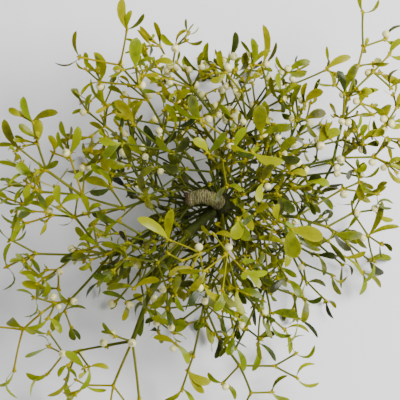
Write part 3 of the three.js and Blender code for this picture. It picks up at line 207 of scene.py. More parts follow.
# A fork is [x, y, z, number of berries seated in it, then its leaves and the forks that
# grow from it]. A shoot that ends with no leaves listed grows a pair of its own.
STEMS = {
  "stem_south_west": [-13, -34, 138, 0,
    [-50, -92, 124, 2,
      [-68, -142, 102, 1,
        [-94, -147, 86, 1,
          [-124, -153, 76, 2,
            [-138, -156, 76, 1,
              [-152, -135, 84, 1, leaf(-170, -128, 88, 6, 3, 60), leaf(-143, -112, 90, 5, -5, 70)],
              [-154, -176, 68, 1, leaf(-177, -176, 62, 7, 5, 30), leaf(-172, -200, 60, 5, -7, 70)]],
            [-136, -182, 52, 0, leaf(-130, -204, 44, 7, -3, 30), leaf(-156, -200, 46, 6, 5, 50)],
            [-112, -168, 96, 0, leaf(-92, -170, 98, 6, 3, 40), leaf(-121, -191, 94, 6, 4, 40)]]],
        [-88, -188, 74, 1,
          [-70, -214, 56, 1],
          [-116, -188, 66, 0, leaf(-95, -193, 62, 5, -3, 50), leaf(-140, -196, 60, 6, 4, 50)],
          [-94, -222, 60, 0]],
        [-62, -202, 58, 1, [-44, -234, 34, 0], [-84, -240, 44, 0]],
        [-84, -136, 122, 1, leaf(-97, -122, 128, 5, 2, 40), leaf(-99, -132, 120, 5, -2, 50)]],
      [-72, -101, 140, 1, leaf(-77, -120, 142, 6, 2, 20), leaf(-97, -92, 142, 6, -3, 40)],
      [-55, -110, 110, 0, leaf(-60, -137, 106, 7, -2, 20), leaf(-38, -122, 108, 7, 3, 30)]],
    [-42, -62, 166, 1,
      [-72, -57, 176, 0, leaf(-60, -68, 178, 8, 3, 20), leaf(-88, -44, 180, 7, -3, 30)],
      [-64, -86, 172, 1, leaf(-40, -79, 178, 7, 3, 30), leaf(-92, -88, 172, 7, -3, 30)],
      [-32, -88, 180, 1, leaf(-14, -98, 184, 8, 3, 15), leaf(-49, -106, 180, 8, 3, 20)]]],

  "stem_west_south": [-34, -20, 98, 0,
    [-90, -55, 108, 2,
      [-103, -46, 112, 1,
        [-125, -17, 122, 1,
          [-148, -15, 126, 1,
            [-173, -23, 120, 0, leaf(-188, -42, 114, 6, -3, 30), leaf(-199, -14, 122, 5, 4, 60)],
            [-153, -12, 144, 0, leaf(-144, 4, 150, 8, 3, 10), leaf(-170, -3, 150, 6, -4, 40)]],
          [-138, -6, 140, 0, leaf(-140, 15, 148, 8, 3, 10), leaf(-119, 3, 144, 7, 4, 30)],
          [-112, -14, 134, 1, leaf(-98, -5, 140, 6, 3, 40), leaf(-118, 6, 138, 7, -2, 30)]],
        [-126, -55, 104, 1,
          [-165, -54, 102, 1,
            [-190, -40, 108, 0, leaf(-201, -12, 110, 5, 6, 70), leaf(-174, -30, 114, 5, -5, 65)],
            [-194, -67, 94, 0, leaf(-190, -43, 98, 6, 4, 50), leaf(-199, -91, 84, 5, 10, 75)]],
          [-143, -70, 94, 2,
            [-158, -79, 92, 0, leaf(-181, -74, 90, 7, -3, 40), leaf(-160, -98, 86, 7, 6, 40)],
            [-143, -89, 86, 1, leaf(-163, -98, 82, 5, -5, 60), leaf(-128, -106, 84, 6, -4, 40)]]],
        [-107, -26, 98, 0, leaf(-90, -36, 94, 7, -3, 30), leaf(-122, -40, 94, 6, 3, 40)]],
      [-130, -100, 102, 1,
        [-146, -104, 100, 2,
          [-166, -98, 100, 0, leaf(-185, -91, 100, 5, -3, 60), leaf(-178, -118, 92, 5, 9, 75)],
          [-179, -131, 84, 1,
            [-209, -128, 84, 0],
            [-189, -172, 62, 0, leaf(-186, -202, 52, 5, -10, 75), leaf(-212, -188, 56, 6, 7, 60)]],
          [-152, -118, 112, 0, leaf(-172, -128, 110, 6, 3, 40), leaf(-140, -134, 114, 7, 3, 20)]],
        [-137, -112, 84, 0, leaf(-115, -110, 82, 5, 4, 60), leaf(-149, -133, 78, 8, -3, 20)]],
      [-84, -71, 132, 1, leaf(-107, -75, 136, 8, 3, 20), leaf(-103, -88, 130, 5, -2, 60)]],
    [-60, -34, 132, 1,
      [-76, -52, 146, 1, leaf(-98, -44, 150, 7, -3, 30), leaf(-80, -76, 148, 7, 3, 30)],
      [-80, -22, 142, 0, leaf(-102, -12, 146, 8, 3, 20), leaf(-94, -38, 140, 6, -4, 50)]]],

  "stem_west": [-34, 5, 122, 0,
    [-76, -8, 116, 1,
      [-117, 4, 126, 2,
        [-153, 30, 136, 2,
          [-179, 51, 146, 0, leaf(-194, 80, 152, 9, 3, 15), leaf(-202, 54, 142, 6, -3, 50)],
          [-161, 56, 152, 0, leaf(-160, 80, 156, 11, 0, 10),
            [-165, 77, 166, 0, leaf(-174, 102, 170, 8, 3, 20), leaf(-140, 86, 168, 8, 3, 20)]],
          [-165, 25, 144, 0, leaf(-181, 37, 148, 11, 2, 10), leaf(-202, 38, 138, 6, -3, 50),
            leaf(-190, 15, 142, 5, -6, 60)],
          [-146, 47, 130, 0, leaf(-151, 64, 136, 7, -3, 30), leaf(-132, 61, 130, 6, 3, 40)]],
        [-130, 45, 144, 1, leaf(-121, 73, 152, 9, -3, 15), leaf(-141, 68, 146, 6, 3, 50)],
        [-116, 34, 134, 2, leaf(-126, 22, 138, 6, 3, 40), leaf(-101, 46, 138, 6, -3, 30)],
        [-159, 8, 116, 1,
          [-178, -4, 112, 0, leaf(-202, 3, 110, 5, 3, 60), leaf(-190, -24, 106, 6, 4, 50)],
          [-174, 14, 104, 0, leaf(-196, 22, 100, 7, 2, 30), leaf(-186, -4, 98, 5, -4, 60)]]],
      [-88, 10, 130, 1, leaf(-114, 20, 134, 9, -3, 20), leaf(-84, 32, 136, 7, 3, 30)],
      [-98, -14, 92, 0]],
    [-60, 20, 128, 1,
      [-86, 26, 146, 0, leaf(-108, 36, 150, 8, 3, 15), leaf(-84, 50, 152, 7, 2, 30)],
      [-56, 44, 144, 1, leaf(-70, 64, 150, 8, 3, 20), leaf(-40, 60, 148, 6, -4, 40)]]],

  "stem_west_north": [-28, 26, 104, 0,
    [-62, 50, 112, 2,
      [-95, 74, 120, 2,
        [-108, 64, 128, 0, leaf(-114, 46, 130, 6, 3, 30), leaf(-134, 66, 126, 7, 3, 40)],
        [-112, 88, 118, 1, leaf(-128, 86, 114, 5, -3, 50), leaf(-108, 106, 118, 6, 3, 50)],
        [-92, 93, 136, 0, leaf(-98, 113, 140, 7, 4, 30), leaf(-109, 121, 130, 5, 4, 60)]],
      [-84, 52, 96, 1,
        [-104, 39, 92, 0, leaf(-124, 18, 86, 6, 3, 50), leaf(-118, 58, 90, 6, 4, 50)],
        [-95, 62, 84, 0, leaf(-90, 20, 78, 8, -5, 20), leaf(-112, 78, 80, 6, -4, 40)]],
      [-74, 84, 134, 1, leaf(-87, 98, 138, 6, 2, 30), leaf(-60, 98, 138, 6, 3, 40)]],
    [-44, 30, 134, 1,
      [-70, 34, 158, 0, leaf(-94, 40, 164, 9, 3, 20), leaf(-76, 56, 162, 8, -3, 30)],
      [-40, 56, 154, 2, leaf(-54, 74, 160, 8, 3, 20), leaf(-24, 68, 160, 7, -3, 30)]]],

  "stem_north_west": [-8, 40, 124, 0,
    [-37, 72, 140, 1,
      [-52, 99, 150, 1,
        [-61, 113, 156, 1,
          [-79, 133, 166, 2,
            [-72, 167, 178, 0, leaf(-76, 198, 182, 9, 3, 10, 0.2), leaf(-55, 183, 184, 6, -3, 50),
              leaf(-67, 186, 186, 6, 2, 30)],
            [-118, 141, 164, 0, leaf(-122, 167, 168, 6, 4, 50), leaf(-144, 136, 156, 4, 5, 75)]],
          [-99, 117, 150, 1, leaf(-105, 146, 156, 9, -6, 20), leaf(-118, 104, 146, 5, -4, 60)],
          [-63, 130, 188, 0, leaf(-62, 159, 196, 13, 1, 5, -0.15), leaf(-44, 138, 192, 6, 3, 50)],
          [-48, 134, 158, 1, leaf(-27, 135, 162, 7, 3, 30), leaf(-55, 156, 160, 7, 3, 30)]],
        [-76, 103, 134, 1, leaf(-92, 112, 130, 6, -3, 40), leaf(-88, 88, 128, 6, 3, 40)]],
      [-24, 94, 160, 2, leaf(-10, 108, 168, 7, 3, 20), leaf(-36, 114, 166, 7, 3, 30)]],
    [-36, 50, 164, 1,
      [-76, 56, 180, 0, leaf(-99, 61, 184, 8, 3, 20), leaf(-94, 40, 182, 9, -3, 15)],
      [-65, 74, 188, 0, leaf(-84, 97, 192, 10, -3, 10), leaf(-56, 98, 190, 6, 3, 40)],
      [-24, 72, 184, 0, leaf(-34, 94, 190, 7, -3, 30), leaf(-4, 82, 188, 6, -3, 40)]]],

  "stem_north": [16, 42, 108, 0,
    [14, 84, 112, 2,
      [-8, 112, 114, 3,
        [-28, 130, 116, 1,
          [-40, 154, 118, 0, leaf(-60, 174, 120, 6, 2, 30), leaf(-46, 178, 122, 6, -2, 40)],
          [-24, 154, 122, 1, leaf(-38, 166, 124, 7, 3, 30), leaf(-12, 170, 122, 5, 4, 50)]],
        [0, 128, 126, 2, leaf(4, 148, 130, 6, 3, 40), leaf(-16, 144, 130, 6, 3, 40)]],
      [26, 112, 120, 3,
        [29, 141, 124, 2, leaf(35, 168, 126, 7, -3, 20), leaf(15, 151, 122, 5, 4, 50)],
        [46, 130, 118, 1, leaf(48, 148, 122, 9, 2, 10), leaf(62, 140, 112, 5, -3, 60)],
        [12, 132, 110, 1, leaf(8, 158, 110, 6, 4, 30), leaf(-4, 142, 106, 5, -4, 60)]]],
    [34, 66, 84, 1,
      [20, 96, 74, 1],
      [52, 92, 68, 1, [44, 122, 56, 1], [74, 112, 52, 0]]]],

  "stem_north_north_east": [32, 36, 126, 0,
    [46, 80, 138, 2,
      [41, 108, 152, 3,
        [52, 132, 158, 1, leaf(51, 160, 160, 7, -3, 20), leaf(70, 148, 158, 6, 3, 40)],
        [26, 126, 162, 2, leaf(20, 148, 164, 7, 3, 30), leaf(10, 118, 166, 7, 3, 30)]],
      [67, 107, 138, 2,
        [87, 127, 134, 2, leaf(110, 138, 132, 7, 3, 20), leaf(106, 128, 128, 7, -3, 30),
          leaf(76, 143, 136, 5, 3, 50)],
        [62, 134, 128, 1, leaf(63, 175, 126, 7, -5, 20, 0.3), leaf(76, 158, 122, 5, -4, 50)]],
      [78, 98, 156, 1, leaf(98, 114, 162, 6, 3, 30), leaf(70, 122, 160, 6, 3, 40)]],
    [30, 58, 172, 2,
      [60, 64, 190, 1, leaf(60, 93, 200, 14, 2, 5), leaf(90, 70, 192, 9, 3, 20)],
      [2, 78, 188, 1, leaf(-8, 103, 194, 10, 3, 5), leaf(-26, 95, 192, 6, 3, 40)]]],

  "stem_north_east": [62, 25, 106, 0,
    [84, 48, 132, 1,
      [98, 80, 142, 2,
        [104, 96, 152, 1, leaf(122, 107, 156, 9, 3, 10), leaf(106, 116, 158, 6, 3, 40)],
        [92, 88, 160, 0, leaf(100, 114, 166, 6, 3, 30), leaf(78, 104, 166, 6, 3, 30)],
        [106, 80, 128, 1, leaf(126, 86, 124, 10, 3, 10), leaf(118, 62, 126, 6, -3, 40)],
        [94, 116, 128, 1, [126, 130, 120, 1,
                           leaf(151, 143, 118, 8, 3, 15), leaf(134, 114, 112, 6, 3, 50)]]],
      [116, 54, 138, 1,
        [118, 56, 160, 1, leaf(139, 68, 164, 10, 3, 10), leaf(130, 76, 164, 7, 3, 20)],
        [142, 60, 128, 1, leaf(160, 74, 126, 6, 3, 40), leaf(158, 52, 120, 5, -3, 50)]]],
    [104, 24, 106, 1,
      [136, 28, 96, 1,
        [160, 24, 88, 1, leaf(181, 34, 86, 5, -5, 60), leaf(176, 8, 82, 6, -5, 50)],
        [146, 46, 84, 0]],
      [118, 4, 88, 1, leaf(134, -10, 82, 7, 3, 30), leaf(140, 12, 84, 6, 3, 40)]]],

  "stem_east_north": [72, 18, 132, 0,
    [102, 34, 142, 3,
      [141, 42, 138, 2,
        [157, 55, 140, 2,
          [185, 75, 136, 3, leaf(202, 76, 136, 6, -3, 30), leaf(190, 94, 138, 6, 3, 40),
            [196, 92, 128, 0]],
          [162, 62, 156, 0, leaf(166, 74, 160, 7, 3, 20), leaf(180, 64, 160, 8, 3, 20)]],
        [174, 43, 126, 2,
          [186, 62, 118, 1, leaf(196, 52, 112, 5, -6, 65), leaf(174, 80, 116, 6, 4, 50)],
          [187, 36, 118, 1, leaf(204, 40, 116, 6, 3, 40), leaf(203, 17, 112, 6, -4, 50)]],
        [154, 30, 150, 1, leaf(164, 36, 156, 7, -3, 20), leaf(147, 20, 154, 6, -3, 30)]],
      [106, 18, 158, 0, leaf(128, 14, 162, 8, 3, 20), leaf(120, 22, 164, 6, 3, 30)]]],

  "stem_east": [58, -13, 112, 0,
    [96, -17, 118, 1,
      [118, 10, 132, 1,
        [131, 34, 156, 1,
          [141, 80, 160, 2,
            [146, 102, 158, 1,
              [172, 127, 146, 1,
                [188, 144, 138, 1, leaf(203, 160, 134, 7, 3, 30), leaf(206, 144, 132, 6, -3, 40)],
                [190, 112, 134, 1, leaf(198, 130, 134, 5, 6, 60), leaf(206, 118, 128, 6, 3, 40)]],
              [157, 133, 150, 1,
                [162, 152, 146, 2,
                  [162, 186, 136, 0, leaf(162, 212, 132, 6, 3, 40), leaf(178, 200, 130, 5, -5, 60)],
                  [184, 160, 132, 1, leaf(202, 174, 128, 5, 4, 60), leaf(200, 158, 126, 6, -3, 40)]]]],
            [142, 105, 176, 0, leaf(135, 127, 182, 7, -2, 10), leaf(155, 134, 180, 8, 2, 10)],
            [160, 96, 142, 1, leaf(167, 112, 140, 6, 3, 30), leaf(178, 110, 136, 6, 4, 40)]]]],
      [143, 11, 108, 2,
        [178, 6, 94, 1, leaf(189, 18, 92, 6, 3, 30), leaf(194, -8, 86, 5, -7, 65)],
        [160, 18, 96, 0, leaf(172, -2, 98, 7, -6, 30), leaf(166, 38, 96, 6, 3, 40)]],
      [128, -27, 100, 1,
        [154, -13, 94, 2,
          [170, -36, 78, 1, leaf(184, -1, 84, 7, -3, 20), leaf(202, -27, 76, 6, 3, 40),
            [177, -62, 52, 0, leaf(196, -60, 44, 6, 3, 40), leaf(168, -84, 42, 6, 4, 50)]],
          [176, -10, 80, 1, leaf(196, -4, 74, 5, 7, 65), leaf(196, -20, 72, 6, -4, 40)]],
        [134, -33, 112, 0, leaf(163, -34, 112, 9, -2, 10), leaf(152, -50, 106, 7, -3, 30)],
        [150, -44, 66, 1,
          [174, -62, 26, 1, leaf(197, -62, 4, 7, 4, 30), leaf(190, -76, 1, 8, -3, 10)],
          [166, -74, 40, 0, leaf(164, -98, 22, 6, 4, 40), leaf(186, -90, 24, 6, 3, 50)]]]],
    [84, -40, 100, 1,
      [112, -54, 92, 1,
        [144, -57, 80, 2, leaf(165, -77, 74, 5, 3, 50), leaf(168, -52, 74, 6, -3, 40)],
        [118, -56, 108, 0, leaf(137, -58, 112, 7, 2, 20), leaf(124, -76, 110, 6, 3, 40)]],
      [104, -64, 78, 1,
        [134, -76, 66, 0, leaf(150, -77, 62, 5, -7, 60), leaf(144, -96, 58, 6, -3, 40)],
        [108, -84, 64, 0, leaf(112, -108, 56, 5, -6, 60), leaf(128, -88, 60, 6, 4, 50)]]]],

  "stem_south_east": [42, -38, 126, 0,
    [64, -84, 130, 1,
      [93, -94, 130, 1,
        [97, -118, 122, 0, leaf(118, -138, 116, 5, 3, 50), leaf(86, -147, 118, 4, 4, 70)],
        [104, -98, 142, 0, leaf(121, -96, 146, 6, -4, 40), leaf(102, -122, 144, 8, 2, 20)]],
      [70, -112, 136, 1, leaf(98, -117, 140, 9, 3, 10), leaf(72, -138, 138, 6, -4, 40),
        [71, -122, 118, 0, leaf(92, -135, 112, 6, -7, 50), leaf(56, -140, 112, 6, 3, 40)]],
      [46, -128, 122, 1,
        [60, -139, 114, 0, leaf(75, -135, 114, 7, 3, 20), leaf(62, -160, 106, 5, -3, 40)],
        [36, -148, 108, 1, leaf(44, -172, 100, 7, 3, 30), leaf(20, -158, 104, 6, -4, 40)]]],
    [74, -56, 152, 1,
      [86, -78, 164, 0, leaf(98, -97, 168, 8, 3, 20), leaf(70, -92, 170, 8, -3, 20)],
      [84, -44, 172, 0, leaf(58, -38, 176, 7, -3, 30), leaf(84, -66, 174, 7, 3, 30)]]],

  "stem_south": [20, -44, 100, 0,
    [4, -104, 104, 2,
      [-7, -158, 84, 2,
        [-12, -172, 74, 0, leaf(11, -184, 72, 10, -4, 10), leaf(4, -196, 68, 8, -2, 20)],
        [-18, -191, 62, 0, leaf(-36, -204, 54, 6, 3, 40), leaf(-6, -214, 50, 6, 3, 40)],
        [-24, -146, 88, 1, leaf(-47, -139, 90, 7, -3, 30), leaf(-12, -166, 84, 7, 3, 30)]],
      [18, -138, 92, 2, leaf(15, -160, 86, 7, 3, 30), leaf(34, -152, 90, 6, 3, 40),
        [40, -168, 66, 1,
          [76, -169, 56, 1,
            [97, -157, 52, 1, leaf(107, -138, 52, 5, 5, 60), leaf(117, -148, 48, 6, -4, 40)],
            [98, -181, 46, 0, leaf(118, -168, 42, 6, 3, 40), leaf(122, -187, 38, 6, -3, 40)]],
          [52, -197, 42, 1,
            [73, -197, 34, 0, leaf(90, -180, 32, 5, 4, 50), leaf(92, -205, 26, 6, -3, 30)],
            [40, -222, 26, 0]],
          [24, -186, 50, 1, leaf(8, -176, 48, 6, 3, 40), leaf(36, -204, 44, 6, 3, 40)]]],
      [-28, -128, 120, 1, leaf(-14, -124, 124, 7, 3, 20), leaf(-48, -118, 122, 8, -3, 30)]],
    [38, -88, 84, 1,
      [24, -112, 76, 1, leaf(52, -127, 72, 8, 3, 20), leaf(28, -140, 66, 6, -3, 40)],
      [62, -112, 62, 1,
        [86, -132, 44, 1, leaf(112, -136, 34, 6, 3, 40), leaf(92, -158, 30, 6, 3, 40)],
        [60, -146, 36, 1, leaf(54, -176, 20, 7, 3, 30), leaf(78, -166, 18, 6, 3, 50)]]]],

  "stem_crown_south": [26, -40, 150, 0,
    [0, -52, 186, 1,
      [-30, -39, 204, 0, leaf(-61, -18, 214, 10, -3, 5, 0.12), leaf(-27, -9, 214, 9, 2, 10, 0.25)],
      [4, -84, 196, 1, leaf(-10, -104, 202, 8, -2, 15), leaf(24, -98, 200, 7, -3, 30)],
      [-8, -66, 198, 0, leaf(-30, -74, 206, 7, -3, 20), leaf(-4, -88, 206, 7, 3, 20)]],
    [27, -52, 190, 1,
      [42, -68, 204, 1, leaf(58, -86, 210, 7, 3, 20), leaf(66, -70, 208, 7, -3, 30)],
      [36, -88, 186, 1, leaf(44, -112, 188, 8, -3, 20), leaf(61, -96, 186, 7, 3, 30)],
      [6, -68, 204, 0, leaf(-21, -69, 208, 6, 1, 40), leaf(-10, -88, 206, 7, 2, 20)],
      [22, -88, 202, 0, leaf(14, -108, 206, 9, 3, 10), leaf(36, -104, 204, 7, -2, 30)],
      [14, -34, 214, 0, leaf(2, -24, 222, 5, 3, 40), leaf(30, -36, 220, 6, 3, 40)]]],

  "stem_crown_east": [54, 2, 154, 0,
    [58, 0, 192, 1,
      [76, -20, 206, 0, leaf(77, -4, 212, 7, 3, 20, 0.15),
        [88, -28, 214, 0, leaf(119, -38, 220, 14, 2, 5, 0.05), leaf(94, -56, 218, 17, -2, 5, -0.3)]],
      [38, -18, 206, 0, leaf(31, -37, 212, 13, 3, 5, -0.2), leaf(48, -39, 212, 11, -2, 10, -0.2)],
      [61, 16, 210, 0, leaf(58, -2, 218, 8, -2, 20, 0.15), leaf(72, 34, 218, 8, 3, 20)],
      [76, 4, 200, 0, leaf(77, -15, 204, 8, 2, 10), leaf(93, -11, 202, 11, -2, 5, -0.3)]],
    [68, 34, 188, 1,
      [52, 46, 204, 1, leaf(30, 54, 208, 7, 3, 40), leaf(81, 38, 210, 10, -4, 15, 0.1)],
      [78, 44, 202, 0, leaf(94, 60, 208, 9, 3, 10), leaf(98, 40, 206, 9, -3, 10)],
      [88, 26, 196, 1, leaf(104, 24, 200, 7, 3, 30), leaf(90, 46, 202, 7, 3, 20)]]],

  "stem_crown_north": [10, 28, 146, 0,
    [-14, 30, 178, 2,
      [-40, 32, 188, 0, leaf(-58, 22, 190, 7, -3, 20), leaf(-20, 27, 192, 8, 2, 15)],
      [-26, 46, 198, 0, leaf(-12, 62, 204, 9, -3, 10), leaf(-42, 62, 204, 7, 3, 30)],
      [-50, 4, 190, 0, leaf(-58, 26, 196, 8, 3, 10),
        [-86, 13, 198, 0, leaf(-108, 8, 200, 7, 3, 30), leaf(-100, 30, 202, 6, -3, 40)]]],
    [22, 40, 188, 2,
      [8, 46, 210, 0, leaf(-7, 58, 218, 9, -3, 10, 0.2), leaf(24, 66, 218, 8, -2, 20, -0.1)],
      [34, 50, 206, 1, leaf(46, 70, 212, 8, 3, 15), leaf(52, 44, 212, 6, -3, 40)],
      [26, 14, 212, 0, leaf(16, -2, 222, 6, -2, 20), leaf(40, 8, 220, 6, 3, 40)]]],

  "stem_under_west": [-10, -14, 74, 0,
    [-48, -34, 54, 0,
      [-86, -52, 36, 1, [-120, -58, 16, 0], [-104, -84, 18, 0]],
      [-62, -74, 32, 0, [-86, -104, 12, 1], [-56, -108, 14, 0]]],
    [-44, 14, 52, 0,
      [-82, 26, 34, 1, [-114, 34, 15, 0], [-96, 58, 22, 0]],
      [-52, 50, 30, 0, [-70, 84, 14, 0], [-34, 82, 18, 0]]]],

  "stem_under_north": [22, 24, 74, 0,
    [4, 62, 56, 0,
      [-16, 94, 40, 1, [-40, 118, 20, 0], [0, 126, 18, 0]],
      [30, 94, 40, 1, [50, 124, 16, 0], [22, 128, 22, 0]]],
    [62, 44, 58, 0,
      [94, 62, 40, 1, [124, 78, 16, 0], [92, 96, 20, 0]],
      [100, 30, 36, 0, [132, 38, 18, 0]]]],

  "stem_under_east": [52, -24, 76, 0,
    [88, -44, 50, 0,
      [122, -46, 32, 1, [152, -30, 12, 0], [146, -66, 14, 1]],
      [106, -80, 30, 0, [130, -104, 10, 0], [96, -112, 14, 0]]],
    [48, -66, 52, 0,
      [26, -96, 30, 1, [6, -122, 12, 0], [34, -130, 12, 0]],
      [72, -96, 26, 0]]],
}

# ---- Growth: the same stems, berries and leaves as the solids have ----


def dice(seed):
    """Evenly spread numbers that are the same on every run (mulberry32)."""
    state = seed

    def roll(low, high):
        nonlocal state
        state = (state + 0x6D2B79F5) & 0xFFFFFFFF
        t = ((state ^ (state >> 15)) * (1 | state)) & 0xFFFFFFFF
        t = ((t + (((t ^ (t >> 7)) * (61 | t)) & 0xFFFFFFFF)) ^ t) & 0xFFFFFFFF
        return low + (high - low) * (t ^ (t >> 14)) / 2 ** 32

    return roll


def dice_for(choice, thing):
    """An internode's own dice for one kind of choice."""
    return dice(SEEDS[choice] + thing["index"])


def leaf_dice(one, choice):
    """A leaf's own dice for one kind of choice."""
    seed, a, b, c = LEAF_SEEDS[choice]
    x, y, z = one["tip"]
    return dice(seed + int(abs(x * a + y * b + z * c)))


def dot(a, b):
    return np.einsum("...i,...i->...", a, b)


def segment_gap(a, b, c, d):
    """The shortest distance between segments a-b and c-d, any of them a list of points."""
    u, v, w = b - a, d - c, a - c
    uu, uv, vv = dot(u, u), dot(u, v), dot(v, v)
    spread = uu * vv - uv * uv
    # Segments with hardly any spread are parallel.
    safe = np.where(spread > 1e-6, spread, 1)
    s = np.where(spread > 1e-6, np.clip((uv * dot(v, w) - vv * dot(u, w)) / safe, 0, 1), 0)
    t = np.clip((uv * s + dot(v, w)) / vv, 0, 1)
    best = np.clip((uv * t - dot(u, w)) / uu, 0, 1)
    apart = w + u * best[..., None] - v * t[..., None]
    return np.sqrt(dot(apart, apart))


def unit(v):
    return v / np.linalg.norm(v)


def point(*place):
    return np.array(place, dtype=float)


def sideways(axis):
    """A level direction at right angles to axis."""
    side = point(axis[1], -axis[0], 0)
    return unit(side) if np.linalg.norm(side) > 0.01 else point(1, 0, 0)


def around(axis, angle):
    """The direction at right angles to axis that lies at angle round it."""
    side = sideways(axis)
    return side * math.cos(angle) + np.cross(side, axis) * math.sin(angle)


def tipped(axis, outward, angle):
    """The axis leant outward by an angle."""
    return axis * math.cos(angle) + outward * math.sin(angle)


class Rods:
    """Straight rods with a radius each, kept as arrays for quick distance tests."""

    def __init__(self):
        self.start = np.zeros((MOST_RODS, 3))
        self.end = np.zeros((MOST_RODS, 3))
        self.radius = np.zeros(MOST_RODS)
        self.owner = np.zeros(MOST_RODS, dtype=int)
        self.count = 0

    def add(self, start, end, radius, owner=-1):
        i = self.count
        self.start[i], self.end[i], self.radius[i], self.owner[i] = start, end, radius, owner
        self.count += 1

    def room(self, a, b, skip=()):
        """The free distance from segment a-b to the surface of the nearest rod."""
        n = self.count
        if not n:
            return math.inf
        gaps = segment_gap(a, b, self.start[:n], self.end[:n]) - self.radius[:n]
        for i in skip:
            gaps[i] = math.inf
        return gaps.min()


host_rods = Rods()
for start, end in zip(HOST_PATH, HOST_PATH[1:]):
    host_rods.add(start, end, HOST_RADIUS)

internodes = []
stem_rods = Rods()


def add_internode(start, end, parent, stem, radius):
    """A straight length of stem, from one fork to the next."""
    made = {"from": start, "to": end, "parent": parent, "stem": stem, "radius": radius,
            "direction": unit(end - start), "children": [], "leaves": [], "berries": 0,
            "lift": 0.0, "index": len(internodes), "age": 0, "fill": False}
    internodes.append(made)
    stem_rods.add(start, end, radius)
    if parent:
        parent["children"].append(made)
    return made


def age_of(fork):
    """The years since a fork grew: each fork past it is one year's growth."""
    return max([0] + [1 + age_of(item) for item in fork[4:] if isinstance(item, list)])


def grow_fork(fork, start, parent, stem):
    """Grows a fork and all it carries, a little higher or lower where a stem is in the way."""
    age = age_of(fork)
    radius = TWIG_RADIUS + THICKENING * STOUT.get(stem, 1) * age ** AGEING
    wanted = point(*fork[:3])
    own = [i["index"] for i in internodes if i["stem"] == stem]
    end = wanted
    for lift in LIFTS:
        tried = wanted.copy()
        tried[2] = max(FLOOR_CLEARANCE, wanted[2] + lift)
        if host_rods.room(start, tried) < radius + STEM_CLEARANCE:
            continue
        if stem_rods.room(start, tried, own) > radius + STEM_CLEARANCE:
            end = tried
            break
    made = add_internode(start, end, parent, stem, radius)
    made["age"] = age
    made["berries"] = fork[3]
    made["lift"] = end[2] - wanted[2]
    for item in fork[4:]:
        if isinstance(item, list):
            grow_fork(item, end, made, stem)
        else:
            made["leaves"].append(item)


for stem_name, first_fork in STEMS.items():
    heading = unit(point(*first_fork[:3]) - BURR_CENTRE)
    grow_fork(first_fork, BURR_CENTRE + heading * (BURR_RADIUS + GAP), None, stem_name)

berries = []
berry_rods = Rods()


def seat_berry(internode, roll):
    """Seats a berry in the fork at the end of internode, if there is room."""
    radius = roll(*BERRY_RADIUS)
    axis = internode["direction"]
    outward = around(axis, roll(0, math.tau))
    direction = tipped(axis, outward, math.radians(roll(*BERRY_OPENING)))
    knuckle = internode["radius"] * BERRY_SEAT + radius + GAP
    reach = knuckle
    arms = [(-axis, internode["radius"])]
    arms += [(child["direction"], child["radius"]) for child in internode["children"]]
    for arm, arm_radius in arms:
        cos = float(np.dot(arm, direction))
        if cos > 0:
            reach = max(reach, (radius + arm_radius + GAP) / math.sqrt(1.0001 - cos * cos))
    centre = internode["to"] + direction * reach
    if reach > knuckle + BERRY_CLEARANCE or centre[2] < radius + 1:
        return None
    near = centre + direction * 0.01
    own = [internode["index"]] + [child["index"] for child in internode["children"]]
    if stem_rods.room(centre, near, own) <= radius + BERRY_CLEARANCE:
        return None
    if any(np.linalg.norm(b["centre"] - centre) <= b["radius"] + radius + BERRY_SPACING
           for b in berries):
        return None
    if host_rods.room(centre, near) <= radius + BERRY_CLEARANCE:
        return None
    return {"internode": internode, "centre": centre, "direction": direction, "radius": radius}


def grow_berries(chosen):
    for internode in chosen:
        roll = dice_for("berries", internode)
        seated = 0
        for _ in range(BERRY_TRIES):
            if seated >= internode["berries"]:
                break
            berry = seat_berry(internode, roll)
            if not berry:
                continue
            if roll(0, 1) < FRUITING:
                berries.append(berry)
                outer = berry["centre"] + berry["direction"] * 0.01
                berry_rods.add(berry["centre"], outer, berry["radius"])
            seated += 1


leaves = []
leaf_rods = Rods()
UP = point(0, 0, 1)


def turned(v, axis, angle):
    """A vector turned about a unit axis."""
    cos, sin = math.cos(angle), math.sin(angle)
    return v * cos + np.cross(axis, v) * sin + axis * np.dot(axis, v) * (1 - cos)


def leaf_at(one, s):
    """The point on a leaf's midrib at s (0 at its foot, 1 at its tip), and its directions."""
    base, control, tip = one["base"], one["control"], one["tip"]
    midrib = base * (1 - s) ** 2 + control * 2 * s * (1 - s) + tip * s * s
    heading = unit((control - base) * (1 - s) + (tip - control) * s)
    across = turned(one["across"], heading, one["twist"] * s)
    across = unit(across - heading * np.dot(across, heading))
    return midrib, across, np.cross(across, heading)


def make_leaf(internode, base, control, tip, across, width, twist, ripeness=0):
    """A leaf whose midrib curves from base to tip by way of control, above the surface."""
    control[2] = max(control[2], LEAF_THICKNESS)
    if tip[2] < LEAF_THICKNESS:
        tip[2] = 0
    made = {"internode": internode, "base": base, "control": control, "tip": tip,
            "across": across, "width": width, "twist": twist, "ripeness": ripeness}
    made["points"] = [leaf_at(made, s)[0] for s in (0.25, 0.6, 1)]
    return made


def keep_leaf(made):
    leaves.append(made)
    leaf_rods.add(made["points"][0], made["points"][2], 0, made["internode"]["index"])


def chosen_leaf(internode, spec):
    """A leaf whose tip is given."""
    base = internode["to"] + internode["direction"] * internode["radius"] * LEAF_FOOT
    tip = point(*spec["tip"])
    tip[2] += internode["lift"]
    chord = tip - base
    level = sideways(chord)
    control = base + chord * 0.5 - level * 2 * spec["bow"]
    control[2] += np.linalg.norm(chord) * GIVEN_LEAF_ARCH
    tilt = math.radians(spec["tilt"])
    across = level * math.cos(tilt) + UP * math.sin(tilt)
    return make_leaf(internode, base, control, tip, across, spec["width"], GIVEN_LEAF_TURN,
                     spec["ripeness"])


